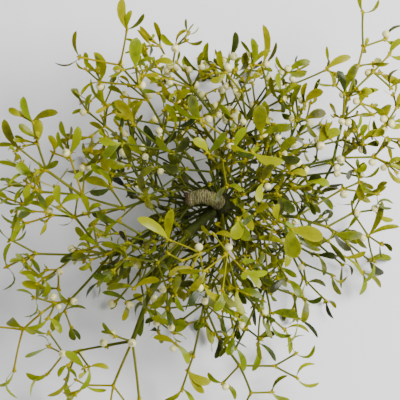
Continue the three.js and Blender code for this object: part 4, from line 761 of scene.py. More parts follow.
def paired_leaf(internode, outward, length, roll):
    """One leaf of a pair that opens from the end of a shoot."""
    axis = internode["direction"]
    base = internode["to"] + axis * internode["radius"] * LEAF_FOOT
    opening = math.radians(roll(*LEAF_OPENING))
    curl = math.radians(roll(*LEAF_CURL))
    control = base + tipped(axis, outward, opening) * length * 0.5
    tip = control + tipped(axis, outward, opening - curl) * length * 0.5
    across = np.cross(axis, outward)
    width = length * roll(*(SHOOT_LEAF_WIDTH if internode["fill"] else LEAF_WIDTH_SHARE))
    twist = math.radians(roll(*LEAF_TURN))
    return make_leaf(internode, base, control, tip, across, width, twist)


def leaf_is_clear(made):
    """Whether a leaf passes clear of other stems, other leaves and berries."""
    if made["internode"]["fill"] and hides_host(made["points"][0], made["points"][2]):
        return False
    room = made["width"] * (SHOOT_LEAF_ROOM if made["internode"]["fill"] else LEAF_ROOM)
    own = made["internode"]["index"]
    siblings = np.nonzero(leaf_rods.owner[:leaf_rods.count] == own)[0]
    for a, b in zip(made["points"], made["points"][1:]):
        if min(host_rods.room(a, b), stem_rods.room(a, b, [own])) <= room:
            return False
        if min(leaf_rods.room(a, b, siblings), berry_rods.room(a, b)) <= room:
            return False
    return True


def grow_leaf_pair(internode, lengths):
    """Tries for a pair that is clear, and in the end keeps what is clear of the last one."""
    roll = dice_for("leaf pair", internode)
    length = roll(*lengths)
    for tries in range(PAIR_TRIES):
        outward = around(internode["direction"], roll(0, math.pi))
        pair = [paired_leaf(internode, side, length * roll(*PAIR_EVENNESS), roll)
                for side in (outward, -outward)]
        pair = [made for made in pair if leaf_is_clear(made)]
        if len(pair) < 2 and tries < PAIR_TRIES - 1:
            continue
        for made in pair:
            keep_leaf(made)
        break


def grow_leaves(chosen, lengths):
    """The given leaves, and a pair at the end of each other shoot."""
    for internode in chosen:
        for spec in internode["leaves"]:
            keep_leaf(chosen_leaf(internode, spec))
    for internode in chosen:
        leafy = internode["fill"] and dice_for("fork leaves", internode)(0, 1) < FORK_LEAVES
        if leafy or not internode["children"] and not internode["leaves"]:
            grow_leaf_pair(internode, lengths(internode["to"]))


main_growth = list(internodes)
grow_berries(main_growth)
grow_leaves(main_growth, lambda place: LEAF_LENGTH)

# ---- Growth: the fine shoots that fill the middle ----


def reach_of(place):
    """How far out a place is: 1 on the rim of the dense middle."""
    return float(np.linalg.norm((place - SPREAD_CENTRE) / SPREAD_REACH))


def hides_host(start, tip):
    """Whether a line passes over the host's branch or the stout stem that leaves from it."""
    if max(start[2], tip[2]) < HOST_PATH[0][2]:
        return False
    level = point(1, 1, 0.001)
    path = np.array(HOST_PATH + STOUT_STEM, dtype=float) * level
    return segment_gap(start * level, tip * level, path[:-1], path[1:]).min() < HOST_CLEARANCE


def is_open(start, tip, radius, own, reach=1.0):
    """Whether a shoot from start to tip lies in the bunch and touches nothing else."""
    if reach_of(tip) > reach or tip[2] < FLOOR_CLEARANCE or hides_host(start, tip):
        return False
    if crowding(tip) < BAREST:
        return False
    stems = min(stem_rods.room(start, tip, own), host_rods.room(start, tip))
    soft = min(leaf_rods.room(start, tip), berry_rods.room(start, tip))
    return stems > radius + SHOOT_CLEARANCE and soft > radius + SHOOT_CLEARANCE


def add_shoot(start, tip, parent, stem, radius):
    made = add_internode(start, tip, parent, stem, radius)
    made["fill"] = True
    return made


def sprout(parent, roll, lengths, angles, reach=1.0):
    """Tries once to grow a side shoot from the fork where parent ends."""
    outward = around(parent["direction"], roll(0, math.tau))
    direction = tipped(parent["direction"], outward, math.radians(roll(*angles)))
    tip = parent["to"] + direction * roll(*lengths)
    if any(np.dot(child["direction"], direction) > SAME_WAY for child in parent["children"]):
        return None
    own = [parent["index"]] + [child["index"] for child in parent["children"]]
    start = parent["to"] + direction * (parent["radius"] + 1)
    if not is_open(start, tip, SHOOT_RADIUS, own, reach):
        return None
    return add_shoot(parent["to"], tip, parent, parent["stem"], SHOOT_RADIUS)


def fork_again(parent, roll, wanted, lengths, angles):
    """Grows shoots from the end of parent until it has as many as wanted, or no room."""
    for _ in range(FORK_TRIES * wanted):
        if len(parent["children"]) < wanted:
            sprout(parent, roll, lengths, angles)
    return parent["children"]


def nearness(place, spot, size):
    """1 on a spot of the plan (x, y), down to 0 where it ends."""
    return max(0, 1 - math.hypot(place[0] - spot[0], place[1] - spot[1]) / size)


def berries_at(place, roll):
    """How many berries a fork of a fine shoot bears: most grow in a few clusters."""
    if any(nearness(place, cluster, CLUSTER_SIZE) > 0 for cluster in BERRY_CLUSTERS):
        return CLUSTER_BERRIES
    return math.floor(roll(0, BACK_BERRIES if place[1] > 50 or place[0] > 130 else FRONT_BERRIES))


def in_patches(place, patches):
    """What each patch adds here: all of it in its inner half, and less towards its edge."""
    return [more * min(1, 2 * nearness(place, (x, y), size)) for x, y, size, more in patches]


def crowding(place):
    """How many more shoots than usual a fork grows here."""
    return sum(in_patches(place, THICKETS))


def grow_side_shoots(forks):
    """Side shoots from the forks of the main stems, most of them near the middle."""
    for fork in forks:
        reach = reach_of(fork["to"])
        if reach > INNER_REACH:
            continue
        roll = dice_for("side shoots", fork)
        more = MIDDLE_SHOOTS * (1 - reach)
        wanted = math.floor(roll(*SIDE_SHOOTS) + more + crowding(fork["to"]))
        grown = 0
        for _ in range(SPROUT_TRIES):
            shoot = sprout(fork, roll, *SIDE_SHOOT) if grown < wanted else None
            if shoot:
                grown += 1
                shoot["berries"] = berries_at(shoot["to"], roll)
                seconds = math.floor(roll(*SECOND_SHOOTS))
                for second in fork_again(shoot, roll, seconds, *SECOND_SHOOT):
                    if reach < THIRD_REACH:
                        thirds = math.floor(roll(*THIRD_SHOOTS))
                        fork_again(second, roll, thirds, *THIRD_SHOOT)


def grow_outer_shoots(forks):
    """Short leafy shoots from the outer forks, past the dense middle."""
    for fork in forks:
        if reach_of(fork["to"]) <= INNER_REACH:
            continue
        roll = dice_for("outer shoots", fork)
        wanted = math.floor(roll(0, OUTER_SHOOTS.get(fork["stem"], 0)) + crowding(fork["to"]))
        for _ in range(OUTER_TRIES * wanted):
            if wanted > 0 and sprout(fork, roll, *OUTER_SHOOT, OUTER_REACH):
                wanted -= 1


def nearest_stem(heading):
    """The main stem that leaves the burr most nearly in this direction."""
    firsts = [i for i in main_growth if not i["parent"]]
    return max(firsts, key=lambda first: np.dot(first["direction"], heading))["stem"]


def grow_young_stems(count, seed, first_length, lengths, angles):
    """Thin stems that rise from the burr between the main ones, and fork three times."""
    for number in range(count):
        roll = dice(seed + number)
        for _ in range(SPROUT_TRIES):
            turn = math.tau * (number + roll(-0.4, 0.4)) / count
            heading = unit(point(math.cos(turn), math.sin(turn), roll(-1.1, 1.5)))
            start = BURR_CENTRE + heading * (BURR_RADIUS + 1)
            tip = start + heading * roll(*first_length)
            if not is_open(start, tip, YOUNG_STEM_RADIUS, []):
                continue
            first = add_shoot(start, tip, None, nearest_stem(heading), YOUNG_STEM_RADIUS)
            for second in fork_again(first, roll, 3, lengths, angles):
                for third in fork_again(second, roll, 2, lengths, angles):
                    third["berries"] = berries_at(third["to"], roll)
                    fork_again(third, roll, math.floor(roll(*SECOND_SHOOTS)), *YOUNG_TWIG)
            break


for young_stems in YOUNG_STEMS:
    grow_young_stems(*young_stems)
grow_side_shoots([i for i in main_growth if i["children"]])
grow_outer_shoots(main_growth)
side_growth = internodes[len(main_growth):]
grow_berries(side_growth)
grow_leaves(side_growth, lambda place: BACK_LEAF_LENGTH if place[1] > 15 and place[0] > -110
            else FRONT_LEAF_LENGTH)


def is_dead(internode):
    """Whether a fine shoot has died back."""
    share = max(in_patches(internode["to"], BARE_PATCHES))
    return internode["fill"] and dice_for("death", internode)(0, 1) < share


# A shoot dies back only once all that it bore has, so the youngest are looked at first.
alive = []
for internode in reversed(internodes):
    parent = internode["parent"]
    if parent and not internode["children"] and is_dead(internode):
        parent["children"] = [child for child in parent["children"] if child is not internode]
    else:
        alive.insert(0, internode)
internodes = alive
living = {id(internode) for internode in internodes}
leaves = [one for one in leaves if id(one["internode"]) in living]
berries = [berry for berry in berries if id(berry["internode"]) in living]

for one in leaves:
    if any(math.hypot(one["tip"][0] - x, one["tip"][1] - y) < 0.5 for x, y in CURLED_TIPS):
        middle = (one["base"] + one["tip"]) / 2
        one["control"] = middle + (one["control"] - middle) * CURLED_BOW
        one["width"] *= CURLED_WIDTH

# The solids' own middle is the origin. Their topmost berry shows how far that is from here.
top_berry = max(berries, key=lambda b: b["centre"][2] if not b["internode"]["fill"] else 0)
berry_low, berry_high = (np.array(corner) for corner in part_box("berry_01"))
shift = (berry_low + berry_high) / 2 - top_berry["centre"] * MM

# ---- Materials ----


def linear(code):
    """A colour such as "#a0b020", an sRGB value, in Blender's linear values."""
    shares = [int(code[i:i + 2], 16) / 255 for i in (1, 3, 5)]
    return [c / 12.92 if c <= 0.04045 else ((c + 0.055) / 1.055) ** 2.4 for c in shares] + [1.0]


def per_mm(size):
    """The texture scale that repeats a pattern every so many millimetres."""
    return 1 / (size * MM)


# Sockets of a Mix node, whose names repeat: its share, then what it mixes, as numbers or as
# colours. A mixed colour comes out of its third socket.
SHARE, NUMBER_A, NUMBER_B, COLOUR_A, COLOUR_B = 0, 2, 3, 6, 7
MIXED = 2


def new_material(name):
    material = bpy.data.materials.new(name)
    material.use_nodes = True
    material.node_tree.nodes.clear()
    return material


def add(material, kind, values=None, links=None, stops=None, **properties):
    """Adds a node with its socket values, its incoming links and its own properties."""
    node = material.node_tree.nodes.new(kind)
    for name, value in properties.items():
        setattr(node, name, value)
    for socket, value in (values or {}).items():
        node.inputs[socket].default_value = linear(value) if isinstance(value, str) else value
    for socket, source in (links or {}).items():
        material.node_tree.links.new(source, node.inputs[socket])
    for i, (place, colour) in enumerate(stops or []):
        elements = node.color_ramp.elements
        element = elements[i] if i < 2 else elements.new(place)
        element.position = place
        element.color = linear(colour) if isinstance(colour, str) else [colour] * 3 + [1]
    return node


def finish_material(material, surface):
    add(material, "ShaderNodeOutputMaterial", links={"Surface": surface.outputs[0]})
    return material


def twig_material():
    """Waxy green epidermis of a living twig: golden at the young knots, dark on old wood and in
    painted shade near the burr.
    """
    made = new_material("living mistletoe twig")
    place = add(made, "ShaderNodeTexCoord").outputs["Object"]
    # The gold attribute holds the skin's own gold and also painted light and painted shade.
    gold = add(made, "ShaderNodeAttribute", attribute_name="gold").outputs["Fac"]
    # The age attribute holds old bark and also painted shade near the burr.
    age = add(made, "ShaderNodeAttribute", attribute_name="age").outputs["Fac"]
    # Patches of sun-yellowed skin, 9 mm across.
    patches = add(made, "ShaderNodeTexNoise", {"Scale": per_mm(9), "Detail": 3}, {"Vector": place})
    uneven = add(made, "ShaderNodeMath", {1: 0.3}, {0: patches.outputs[0], 2: gold},
                 operation="MULTIPLY_ADD")
    young = add(made, "ShaderNodeValToRGB", links={0: uneven.outputs[0]},
                stops=[(0.0, "#262d0b"), (0.3, "#404811"), (0.65, "#636412"), (1.0, "#8e8100")])
    old = add(made, "ShaderNodeValToRGB", links={0: patches.outputs[0]},
              stops=[(0.35, "#161a0a"), (0.7, "#2f3518")])
    skin = add(made, "ShaderNodeMix", data_type="RGBA",
               links={SHARE: age, COLOUR_A: young.outputs[0], COLOUR_B: old.outputs[0]})
    # Pale corky pores on the old wood, 1.6 mm apart.
    pores = add(made, "ShaderNodeTexVoronoi", {"Scale": per_mm(1.6)}, {"Vector": place})
    pore = add(made, "ShaderNodeValToRGB", links={0: pores.outputs["Distance"]},
               stops=[(0.16, 1.0), (0.26, 0.0)])
    shown = add(made, "ShaderNodeMath", links={0: pore.outputs[0], 1: age}, operation="MULTIPLY")
    spotted = add(made, "ShaderNodeMix", {COLOUR_B: "#55552f"},
                  {SHARE: shown.outputs[0], COLOUR_A: skin.outputs[MIXED]}, data_type="RGBA")
    # Fine wrinkles of the skin, 1.1 mm apart.
    wrinkles = add(made, "ShaderNodeTexNoise", {"Scale": per_mm(1.1), "Detail": 2},
                   {"Vector": place})
    bump = add(made, "ShaderNodeBump", {"Strength": 0.35, "Distance": 0.4 * MM},
               {"Height": wrinkles.outputs[0]})
    surface = add(made, "ShaderNodeBsdfPrincipled",
                  {"Roughness": 0.5, "IOR": 1.45, "Specular IOR Level": 0.05},
                  {"Base Color": spotted.outputs[MIXED], "Normal": bump.outputs[0]})
    return finish_material(made, surface)


def leaf_material():
    """Leathery evergreen blade with parallel veins: satin, a little light passes through."""
    made = new_material("leathery mistletoe leaf")
    place = add(made, "ShaderNodeTexCoord").outputs["Object"]
    # X runs across the blade, and Y from its foot to its tip.
    blade = add(made, "ShaderNodeUVMap", uv_map="blade")
    spot = add(made, "ShaderNodeSeparateXYZ", links={0: blade.outputs[0]})
    # The tint holds each leaf's own yellowness and also painted light and painted shade.
    tint = add(made, "ShaderNodeAttribute", attribute_name="tint").outputs["Fac"]
    fresh = add(made, "ShaderNodeAttribute", attribute_name="fresh").outputs["Fac"]
    # Uneven ripening, in patches of 6 mm.
    mottle = add(made, "ShaderNodeTexNoise", {"Scale": per_mm(6), "Detail": 3},
                 {"Vector": place})
    ripe = add(made, "ShaderNodeMath", {1: 0.5}, {0: mottle.outputs[0], 2: tint},
               operation="MULTIPLY_ADD")
    # The foot of the blade is yellower than the rest.
    foot = add(made, "ShaderNodeMapRange",
               {"From Min": 0.0, "From Max": 0.4, "To Min": -0.03, "To Max": -0.27},
               {"Value": spot.outputs["Y"]})
    shade = add(made, "ShaderNodeMath", links={0: ripe.outputs[0], 1: foot.outputs[0]},
                operation="ADD")
    golden = add(made, "ShaderNodeValToRGB", links={0: shade.outputs[0]},
                 stops=[(0.0, "#1b1d06"), (0.22, "#34350c"), (0.45, "#5a5708"),
                        (0.7, "#787200"), (1.0, "#8c8300")])
    green = add(made, "ShaderNodeValToRGB", links={0: shade.outputs[0]},
                stops=[(0.0, "#101b06"), (0.22, "#24320c"), (0.45, "#485808"),
                       (0.7, "#667602"), (1.0, "#798702")])
    colour = add(made, "ShaderNodeMix", data_type="RGBA",
                 links={SHARE: fresh, COLOUR_A: golden.outputs[0], COLOUR_B: green.outputs[0]})
    # Five veins run from foot to tip, and meet at both ends.
    veins = add(made, "ShaderNodeMath", {1: 6 * math.pi}, {0: spot.outputs["X"]},
                operation="MULTIPLY")
    wave = add(made, "ShaderNodeMath", links={0: veins.outputs[0]}, operation="SINE")
    ridge = add(made, "ShaderNodeMath", links={0: wave.outputs[0]}, operation="ABSOLUTE")
    line = add(made, "ShaderNodeValToRGB", links={0: ridge.outputs[0]},
               stops=[(0.0, 0.38), (0.4, 0.0)])
    veined = add(made, "ShaderNodeMix", {COLOUR_B: "#666304"},
                 {SHARE: line.outputs[0], COLOUR_A: colour.outputs[MIXED]}, data_type="RGBA")
    bump = add(made, "ShaderNodeBump", {"Strength": 0.25, "Distance": 0.3 * MM},
               {"Height": ridge.outputs[0]})
    surface = add(made, "ShaderNodeBsdfPrincipled",
                  {"Roughness": 0.24, "IOR": 1.45, "Specular IOR Level": 0.16,
                   "Subsurface Weight": 0.35, "Subsurface Radius": (1.0, 0.95, 0.12),
                   "Subsurface Scale": 1.4 * MM},
                  {"Base Color": veined.outputs[MIXED], "Normal": bump.outputs[0]})
    return finish_material(made, surface)


def berry_material():
    """Translucent skin over sticky white pulp: pearly, with a dark scar at the tip."""
    made = new_material("ripe mistletoe berry")
    # X runs round the berry, and Y from its foot to its tip.
    skin = add(made, "ShaderNodeUVMap", uv_map="skin")
    spot = add(made, "ShaderNodeSeparateXYZ", links={0: skin.outputs[0]})
    place = add(made, "ShaderNodeTexCoord").outputs["Object"]
    pulp = add(made, "ShaderNodeTexNoise", {"Scale": per_mm(3.5), "Detail": 2},
               {"Vector": place})
    milky = add(made, "ShaderNodeValToRGB", links={0: pulp.outputs[0]},
                stops=[(0.3, "#c9c378"), (0.7, "#e3dda2")])
    # The scar of the flower on the tip: a brown spot 3 mm wide, twice the real one, to show.
    scar = add(made, "ShaderNodeValToRGB", links={0: spot.outputs["Y"]},
               stops=[(0.93, 0.0), (0.97, 0.65)])
    marked = add(made, "ShaderNodeMix", {COLOUR_B: "#4a3418"},
                 {SHARE: scar.outputs[0], COLOUR_A: milky.outputs[0]}, data_type="RGBA")
    surface = add(made, "ShaderNodeBsdfPrincipled",
                  {"Roughness": 0.28, "IOR": 1.4, "Subsurface Weight": 0.7,
                   "Subsurface Radius": (1.0, 0.95, 0.7), "Subsurface Scale": 2.2 * MM,
                   "Coat Weight": 0.15, "Coat Roughness": 0.15},
                  {"Base Color": marked.outputs[MIXED]})
    return finish_material(made, surface)


def host_bark_material():
    """Grey bark of the host tree: rings of cracked scales with lichen in the hollows."""
    made = new_material("host tree bark")
    place = add(made, "ShaderNodeTexCoord").outputs["Object"]
    # Rings about 2.4 mm apart, square to the branch. A wave repeats every tau / 20.
    rings = add(made, "ShaderNodeTexWave",
                {"Scale": per_mm(2.4) * math.tau / 20, "Distortion": 7.5, "Detail": 5,
                 "Detail Scale": 2.2},
                {"Vector": place}, bands_direction="X")
    grain = add(made, "ShaderNodeTexNoise", {"Scale": per_mm(1.3), "Detail": 4},
                {"Vector": place})
    height = add(made, "ShaderNodeMix", {SHARE: 0.68},
                 {NUMBER_A: rings.outputs["Fac"], NUMBER_B: grain.outputs[0]})
    colour = add(made, "ShaderNodeValToRGB", links={0: height.outputs[0]},
                 stops=[(0.25, "#2f281a"), (0.4, "#4c472f"), (0.56, "#67613f"),
                        (0.75, "#87805c")])
    # Green lichen, in patches of 7 mm.
    patches = add(made, "ShaderNodeTexNoise", {"Scale": per_mm(7), "Detail": 3},
                  {"Vector": place})
    lichen = add(made, "ShaderNodeValToRGB", links={0: patches.outputs[0]},
                 stops=[(0.52, 0.0), (0.62, 0.5)])
    mixed = add(made, "ShaderNodeMix", {COLOUR_B: "#6f7032"},
                {SHARE: lichen.outputs[0], COLOUR_A: colour.outputs[0]}, data_type="RGBA")
    # The bark reddens over the last 6 mm towards the sawn end.
    along = add(made, "ShaderNodeSeparateXYZ", links={0: place})
    end = add(made, "ShaderNodeMapRange",
              {"From Min": shift[0] - 13 * MM, "From Max": shift[0] - 8 * MM, "To Min": 0.8,
               "To Max": 0.0},
              {"Value": along.outputs["X"]})
    reddened = add(made, "ShaderNodeMix", {COLOUR_B: "#35231a"},
                   {SHARE: end.outputs[0], COLOUR_A: mixed.outputs[MIXED]}, data_type="RGBA")
    bump = add(made, "ShaderNodeBump", {"Strength": 0.6, "Distance": 1.0 * MM},
               {"Height": height.outputs[0]})
    surface = add(made, "ShaderNodeBsdfPrincipled",
                  {"Roughness": 0.85, "Specular IOR Level": 0.08},
                  {"Base Color": reddened.outputs[MIXED], "Normal": bump.outputs[0]})
    return finish_material(made, surface)


def cut_wood_material():
    """The sawn end of the host's branch: dried reddish heartwood, dull."""
    made = new_material("sawn heartwood")
    place = add(made, "ShaderNodeTexCoord").outputs["Object"]
    grain = add(made, "ShaderNodeTexNoise", {"Scale": per_mm(1.5), "Detail": 3},
                {"Vector": place})
    colour = add(made, "ShaderNodeValToRGB", links={0: grain.outputs[0]},
                 stops=[(0.3, "#4b2c20"), (0.7, "#8a6450")])
    surface = add(made, "ShaderNodeBsdfPrincipled", {"Roughness": 0.8},
                  {"Base Color": colour.outputs[0]})
    return finish_material(made, surface)


def burr_material():
    """Woody swelling where the mistletoe grips the branch: olive bark, wrinkled."""
    made = new_material("mistletoe burr bark")
    place = add(made, "ShaderNodeTexCoord").outputs["Object"]
    lumps = add(made, "ShaderNodeTexNoise", {"Scale": per_mm(5), "Detail": 5}, {"Vector": place})
    colour = add(made, "ShaderNodeValToRGB", links={0: lumps.outputs[0]},
                 stops=[(0.3, "#131407"), (0.55, "#22240b"), (0.75, "#35350f")])
    bump = add(made, "ShaderNodeBump", {"Strength": 0.9, "Distance": 1.5 * MM},
               {"Height": lumps.outputs[0]})
    surface = add(made, "ShaderNodeBsdfPrincipled",
                  {"Roughness": 0.75, "Specular IOR Level": 0.1},
                  {"Base Color": colour.outputs[0], "Normal": bump.outputs[0]})
    return finish_material(made, surface)


def card_material():
    """Matt pale card, faintly mottled."""
    made = new_material("matt pale card")
    place = add(made, "ShaderNodeTexCoord").outputs["Object"]
    fibres = add(made, "ShaderNodeTexNoise", {"Scale": per_mm(60), "Detail": 2},
                 {"Vector": place})
    colour = add(made, "ShaderNodeValToRGB", links={0: fibres.outputs[0]},
                 stops=[(0.3, "#e2e1e2"), (0.7, "#e4e3e4")])
    surface = add(made, "ShaderNodeBsdfPrincipled", {"Roughness": 0.9},
                  {"Base Color": colour.outputs[0]})
    return finish_material(made, surface)


TWIG = twig_material()
LEAF = leaf_material()
BERRY = berry_material()
HOST_BARK = host_bark_material()
CUT_WOOD = cut_wood_material()
BURR_BARK = burr_material()
CARD = card_material()

# ---- Models that are copied: a leaf's blade, a berry and a bud ----


def select_only(*pieces):
    """Selects these pieces and nothing else, the first of them the active one."""
    bpy.ops.object.select_all(action="DESELECT")
    for piece in pieces:
        piece.select_set(True)
    bpy.context.view_layer.objects.active = pieces[0]


def started(primitive, **settings):
    """A primitive to shape, with nothing else selected."""
    bpy.ops.object.select_all(action="DESELECT")
    primitive(**settings)
    return bpy.context.object


def chosen_vertices(piece, test):
    """Selects the vertices of the piece in edit mode that pass a test of their place."""
    edited = bmesh.from_edit_mesh(piece.data)
    for vertex in edited.verts:
        vertex.select_set(test(vertex.co))
    edited.select_flush_mode()
    bmesh.update_edit_mesh(piece.data)


# The rings of a blade: how far along each lies, its share of the full width, its thickness.
BLADE_RINGS = [(0.0, 0.16, 0.14), (0.1, 0.26, 0.12), (0.27, 0.62, 0.09), (0.46, 0.9, 0.08),
               (0.65, 1.0, 0.08), (0.81, 0.9, 0.07), (0.92, 0.62, 0.06), (1.0, 0.1, 0.03)]


def blade_model():
    """A strap-shaped blade 1 long and 1 wide, extruded ring by ring from foot to tip."""
    blade = started(bpy.ops.mesh.primitive_circle_add, vertices=8, radius=0.5,
                    fill_type="NGON", rotation=(math.pi / 2, 0, 0))
    bpy.ops.object.transform_apply(rotation=True)
    bpy.ops.object.mode_set(mode="EDIT")
    bpy.ops.mesh.select_all(action="SELECT")
    bpy.ops.transform.resize(value=(BLADE_RINGS[0][1], 1, BLADE_RINGS[0][2]))
    for last, ring in zip(BLADE_RINGS, BLADE_RINGS[1:]):
        bpy.ops.mesh.extrude_region_move(
            TRANSFORM_OT_translate={"value": (0, ring[0] - last[0], 0)})
        bpy.ops.transform.resize(value=(ring[1] / last[1], 1, ring[2] / last[2]))
    bpy.ops.mesh.select_all(action="SELECT")
    bpy.ops.mesh.normals_make_consistent(inside=False)
    bpy.ops.object.mode_set(mode="OBJECT")
    width_at = {place: width / 2 for place, width, _ in BLADE_RINGS}
    layer = blade.data.uv_layers.new(name="blade")
    for loop in blade.data.loops:
        x, y, _ = blade.data.vertices[loop.vertex_index].co
        nearest = min(width_at, key=lambda place: abs(place - y))
        layer.data[loop.index].uv = (0.5 + 0.5 * x / width_at[nearest], y)
    return blade


def berry_model():
    """A berry 1 in radius: flattened a little, dented round the scar at its tip (+Z)."""
    berry = started(bpy.ops.mesh.primitive_uv_sphere_add, segments=12, ring_count=8, radius=1)
    bpy.ops.object.mode_set(mode="EDIT")
    bpy.ops.mesh.select_mode(type="VERT")
    chosen_vertices(berry, lambda co: co.z > 0.99)
    bpy.ops.transform.translate(value=(0, 0, -0.09))
    chosen_vertices(berry, lambda co: co.z < -0.99)
    bpy.ops.transform.translate(value=(0, 0, 0.04))
    bpy.ops.object.mode_set(mode="OBJECT")
    layer = berry.data.uv_layers.new(name="skin")
    for loop in berry.data.loops:
        x, y, z = berry.data.vertices[loop.vertex_index].co
        layer.data[loop.index].uv = (math.atan2(y, x) / math.tau + 0.5, (z + 1) / 2)
    return berry


def bud_model():
    """A plump bud 1 high, with a blunt point."""
    bud = started(bpy.ops.mesh.primitive_uv_sphere_add, segments=5, ring_count=4, radius=0.5,
                  location=(0, 0, 0.5))
    bpy.ops.object.transform_apply(location=True)
    bpy.ops.object.mode_set(mode="EDIT")
    bpy.ops.mesh.select_mode(type="VERT")
    chosen_vertices(bud, lambda co: 0.6 < co.z < 0.99)
    bpy.ops.transform.resize(value=(0.75, 0.75, 1))
    bpy.ops.mesh.select_all(action="SELECT")
    bpy.ops.transform.resize(value=(0.72, 0.72, 1))
    bpy.ops.object.mode_set(mode="OBJECT")
    return bud


def points_of(model):
    return np.array([vertex.co for vertex in model.data.vertices])


def copies(name, model, shapes, material, **shades):
    """One mesh of many copies of a model, each with its own corners in mm and its shades."""
    count = len(model.data.vertices)
    faces = [tuple(face.vertices) for face in model.data.polygons]
    mesh = bpy.data.meshes.new(name)
    mesh.from_pydata(
        (np.concatenate(shapes) * MM + shift).tolist(), [],
        [[v + count * i for v in face] for i in range(len(shapes)) for face in faces])
    # The map that comes with a primitive isn't used.
    for layer in model.data.uv_layers:
        if layer.name != "UVMap":
            corners = [tuple(corner.uv) for corner in layer.data] * len(shapes)
            made = mesh.uv_layers.new(name=layer.name)
            made.data.foreach_set("uv", np.array(corners).ravel())
    for attribute, values in shades.items():
        layer = mesh.attributes.new(attribute, "FLOAT", "POINT")
        layer.data.foreach_set("value", np.repeat(values, count))
    mesh.materials.append(material)
    piece = bpy.data.objects.new(name, mesh)
    bpy.context.collection.objects.link(piece)
    return piece


# The sharpest edge that each kind of piece shows as smooth, in degrees.
SMOOTH_LEAF, SMOOTH_STEM, SMOOTH_BERRY, SMOOTH_BARK, SMOOTH_BURR = 50, 60, 60, 50, 80


def placed(piece, angle, slot, *nodes):
    select_only(piece)
    bpy.ops.object.shade_smooth_by_angle(angle=math.radians(angle))
    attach(piece, "root")
    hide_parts(*nodes)


blade = blade_model()
fruit = berry_model()
bud = bud_model()

# ---- Leaves ----

LEAF_CUP = (-0.1, 0.34)  # rise of the edges, as a share of half the width
LEAF_RIPPLE = (-0.5, 0.5)  # how far the edges wave
BLADE_FULLNESS = 4.5  # thickness of a blade, in its model's and times LEAF_THICKNESS
LEAF_REST = 0.25  # the lowest that a blade lies above the surface


def blade_points(one):
    """The blade bent along a leaf's midrib, cupped and rippled a little."""
    roll = leaf_dice(one, "shape")
    cup = roll(*LEAF_CUP) * (one["width"] / 2)
    ripple = roll(*LEAF_RIPPLE)
    model = points_of(blade)
    bent = np.zeros_like(model)
    for y in np.unique(np.round(model[:, 1], 4)):
        midrib, across, facing = leaf_at(one, y)
        for i in np.nonzero(np.abs(model[:, 1] - y) < 1e-3)[0]:
            x, _, z = model[i]
            lift = cup * (2 * x) ** 2 + ripple * math.sin(5 * y) * y * 2 * x
            thick = z * LEAF_THICKNESS * BLADE_FULLNESS
            bent[i] = midrib + across * x * one["width"] + facing * (thick + lift)
    bent[:, 2] = np.maximum(bent[:, 2], LEAF_REST)
    return bent


def faded(place, patches):
    """What patches add here, fading evenly from the middle of each to its edge."""
    return sum(more * nearness(place, (x, y), size) for x, y, size, more in patches)


def painted_light(place):
    """How much light is painted into the colour at a place, 0 to 1: painted light on the rim and the
    top, painted shade in the middle.
    """
    x, y, z = place
    rim = (math.dist((x, y), SHADE_CENTRE) - SHADE_RADIUS) / RIM_DEPTH
    top = (TOP_PAINTED_LIGHT + TOP_PAINTED_LIGHT_PER_MM * x) * (z - SHADE_TOP) / TOP_DEPTH
    return min(1, max(0, max(rim, top) + faded(place, PAINTED_LIGHT_PATCHES)))


# How yellow and light leaves are: the least, what full painted light adds, and chance. Some are
# duller.
LEAF_YELLOW = 0.35
LEAF_PAINTED_LIGHT = 0.55
LEAF_SPREAD = (-0.27, 0.37)
DULL_LEAVES = 0.35
DULLNESS = 0.3


def leaf_tint(one):
    """How yellow a leaf is: those high and far out get the most painted light, those low in the middle
    painted shade.
    """
    roll = leaf_dice(one, "tint")
    tint = LEAF_YELLOW + LEAF_PAINTED_LIGHT * painted_light(one["base"]) + roll(*LEAF_SPREAD)
    if one["ripeness"]:
        return tint + one["ripeness"]
    return tint - DULLNESS if roll(0, 1) < DULL_LEAVES else tint


def leaf_freshness(one):
    """How green rather than golden a leaf is."""
    roll = leaf_dice(one, "green")
    return min(1, roll(0, 1) + faded(one["base"], GREEN_PATCHES))


def leaf_piece(name, chosen):
    return copies(name, blade, [blade_points(one) for one in chosen], LEAF,
                  tint=[leaf_tint(one) for one in chosen],
                  fresh=[leaf_freshness(one) for one in chosen])


# ---- Buds: small golden knobs at every fork and tip ----

# The lengths and the thicknesses of a bud that ends a shoot, and of those round a fork.
END_BUD = ((4.6, 6.2), (3.8, 4.8))
FORK_BUD = ((3.0, 5.0), (2.8, 4.2))
BUD_OPENING = (35, 80)  # degrees from the stem
BUD_REST = 0.2  # the lowest that a bud lies above the surface


def upright(points, foot, direction, length, thickness):
    """A model that stands on +Z, stood on foot along direction."""
    side = sideways(direction)
    up = np.cross(direction, side)
    stood = foot + np.outer(points[:, 2] * length, direction)
    return stood + np.outer(points[:, 0] * thickness, side) + np.outer(points[:, 1] * thickness, up)


def bud_shapes(internode):
    """The buds at the end of an internode."""
    roll = dice_for("buds", internode)
    axis, radius = internode["direction"], internode["radius"]
    model = points_of(bud)
    shapes = []
    if not internode["children"]:
        foot = internode["to"] - axis * radius * 0.8
        shapes.append(upright(model, foot, axis, *[roll(*size) for size in END_BUD]))
    for _ in range(3 if internode["children"] else 2):
        outward = around(axis, roll(0, math.tau))
        direction = tipped(axis, outward, math.radians(roll(*BUD_OPENING)))
        foot = internode["to"] + direction * radius * 0.4
        shapes.append(upright(model, foot, direction, *[roll(*size) for size in FORK_BUD]))
    for shape in shapes:
        shape[:, 2] = np.maximum(shape[:, 2], BUD_REST)
    return shapes


# ---- Twigs ----

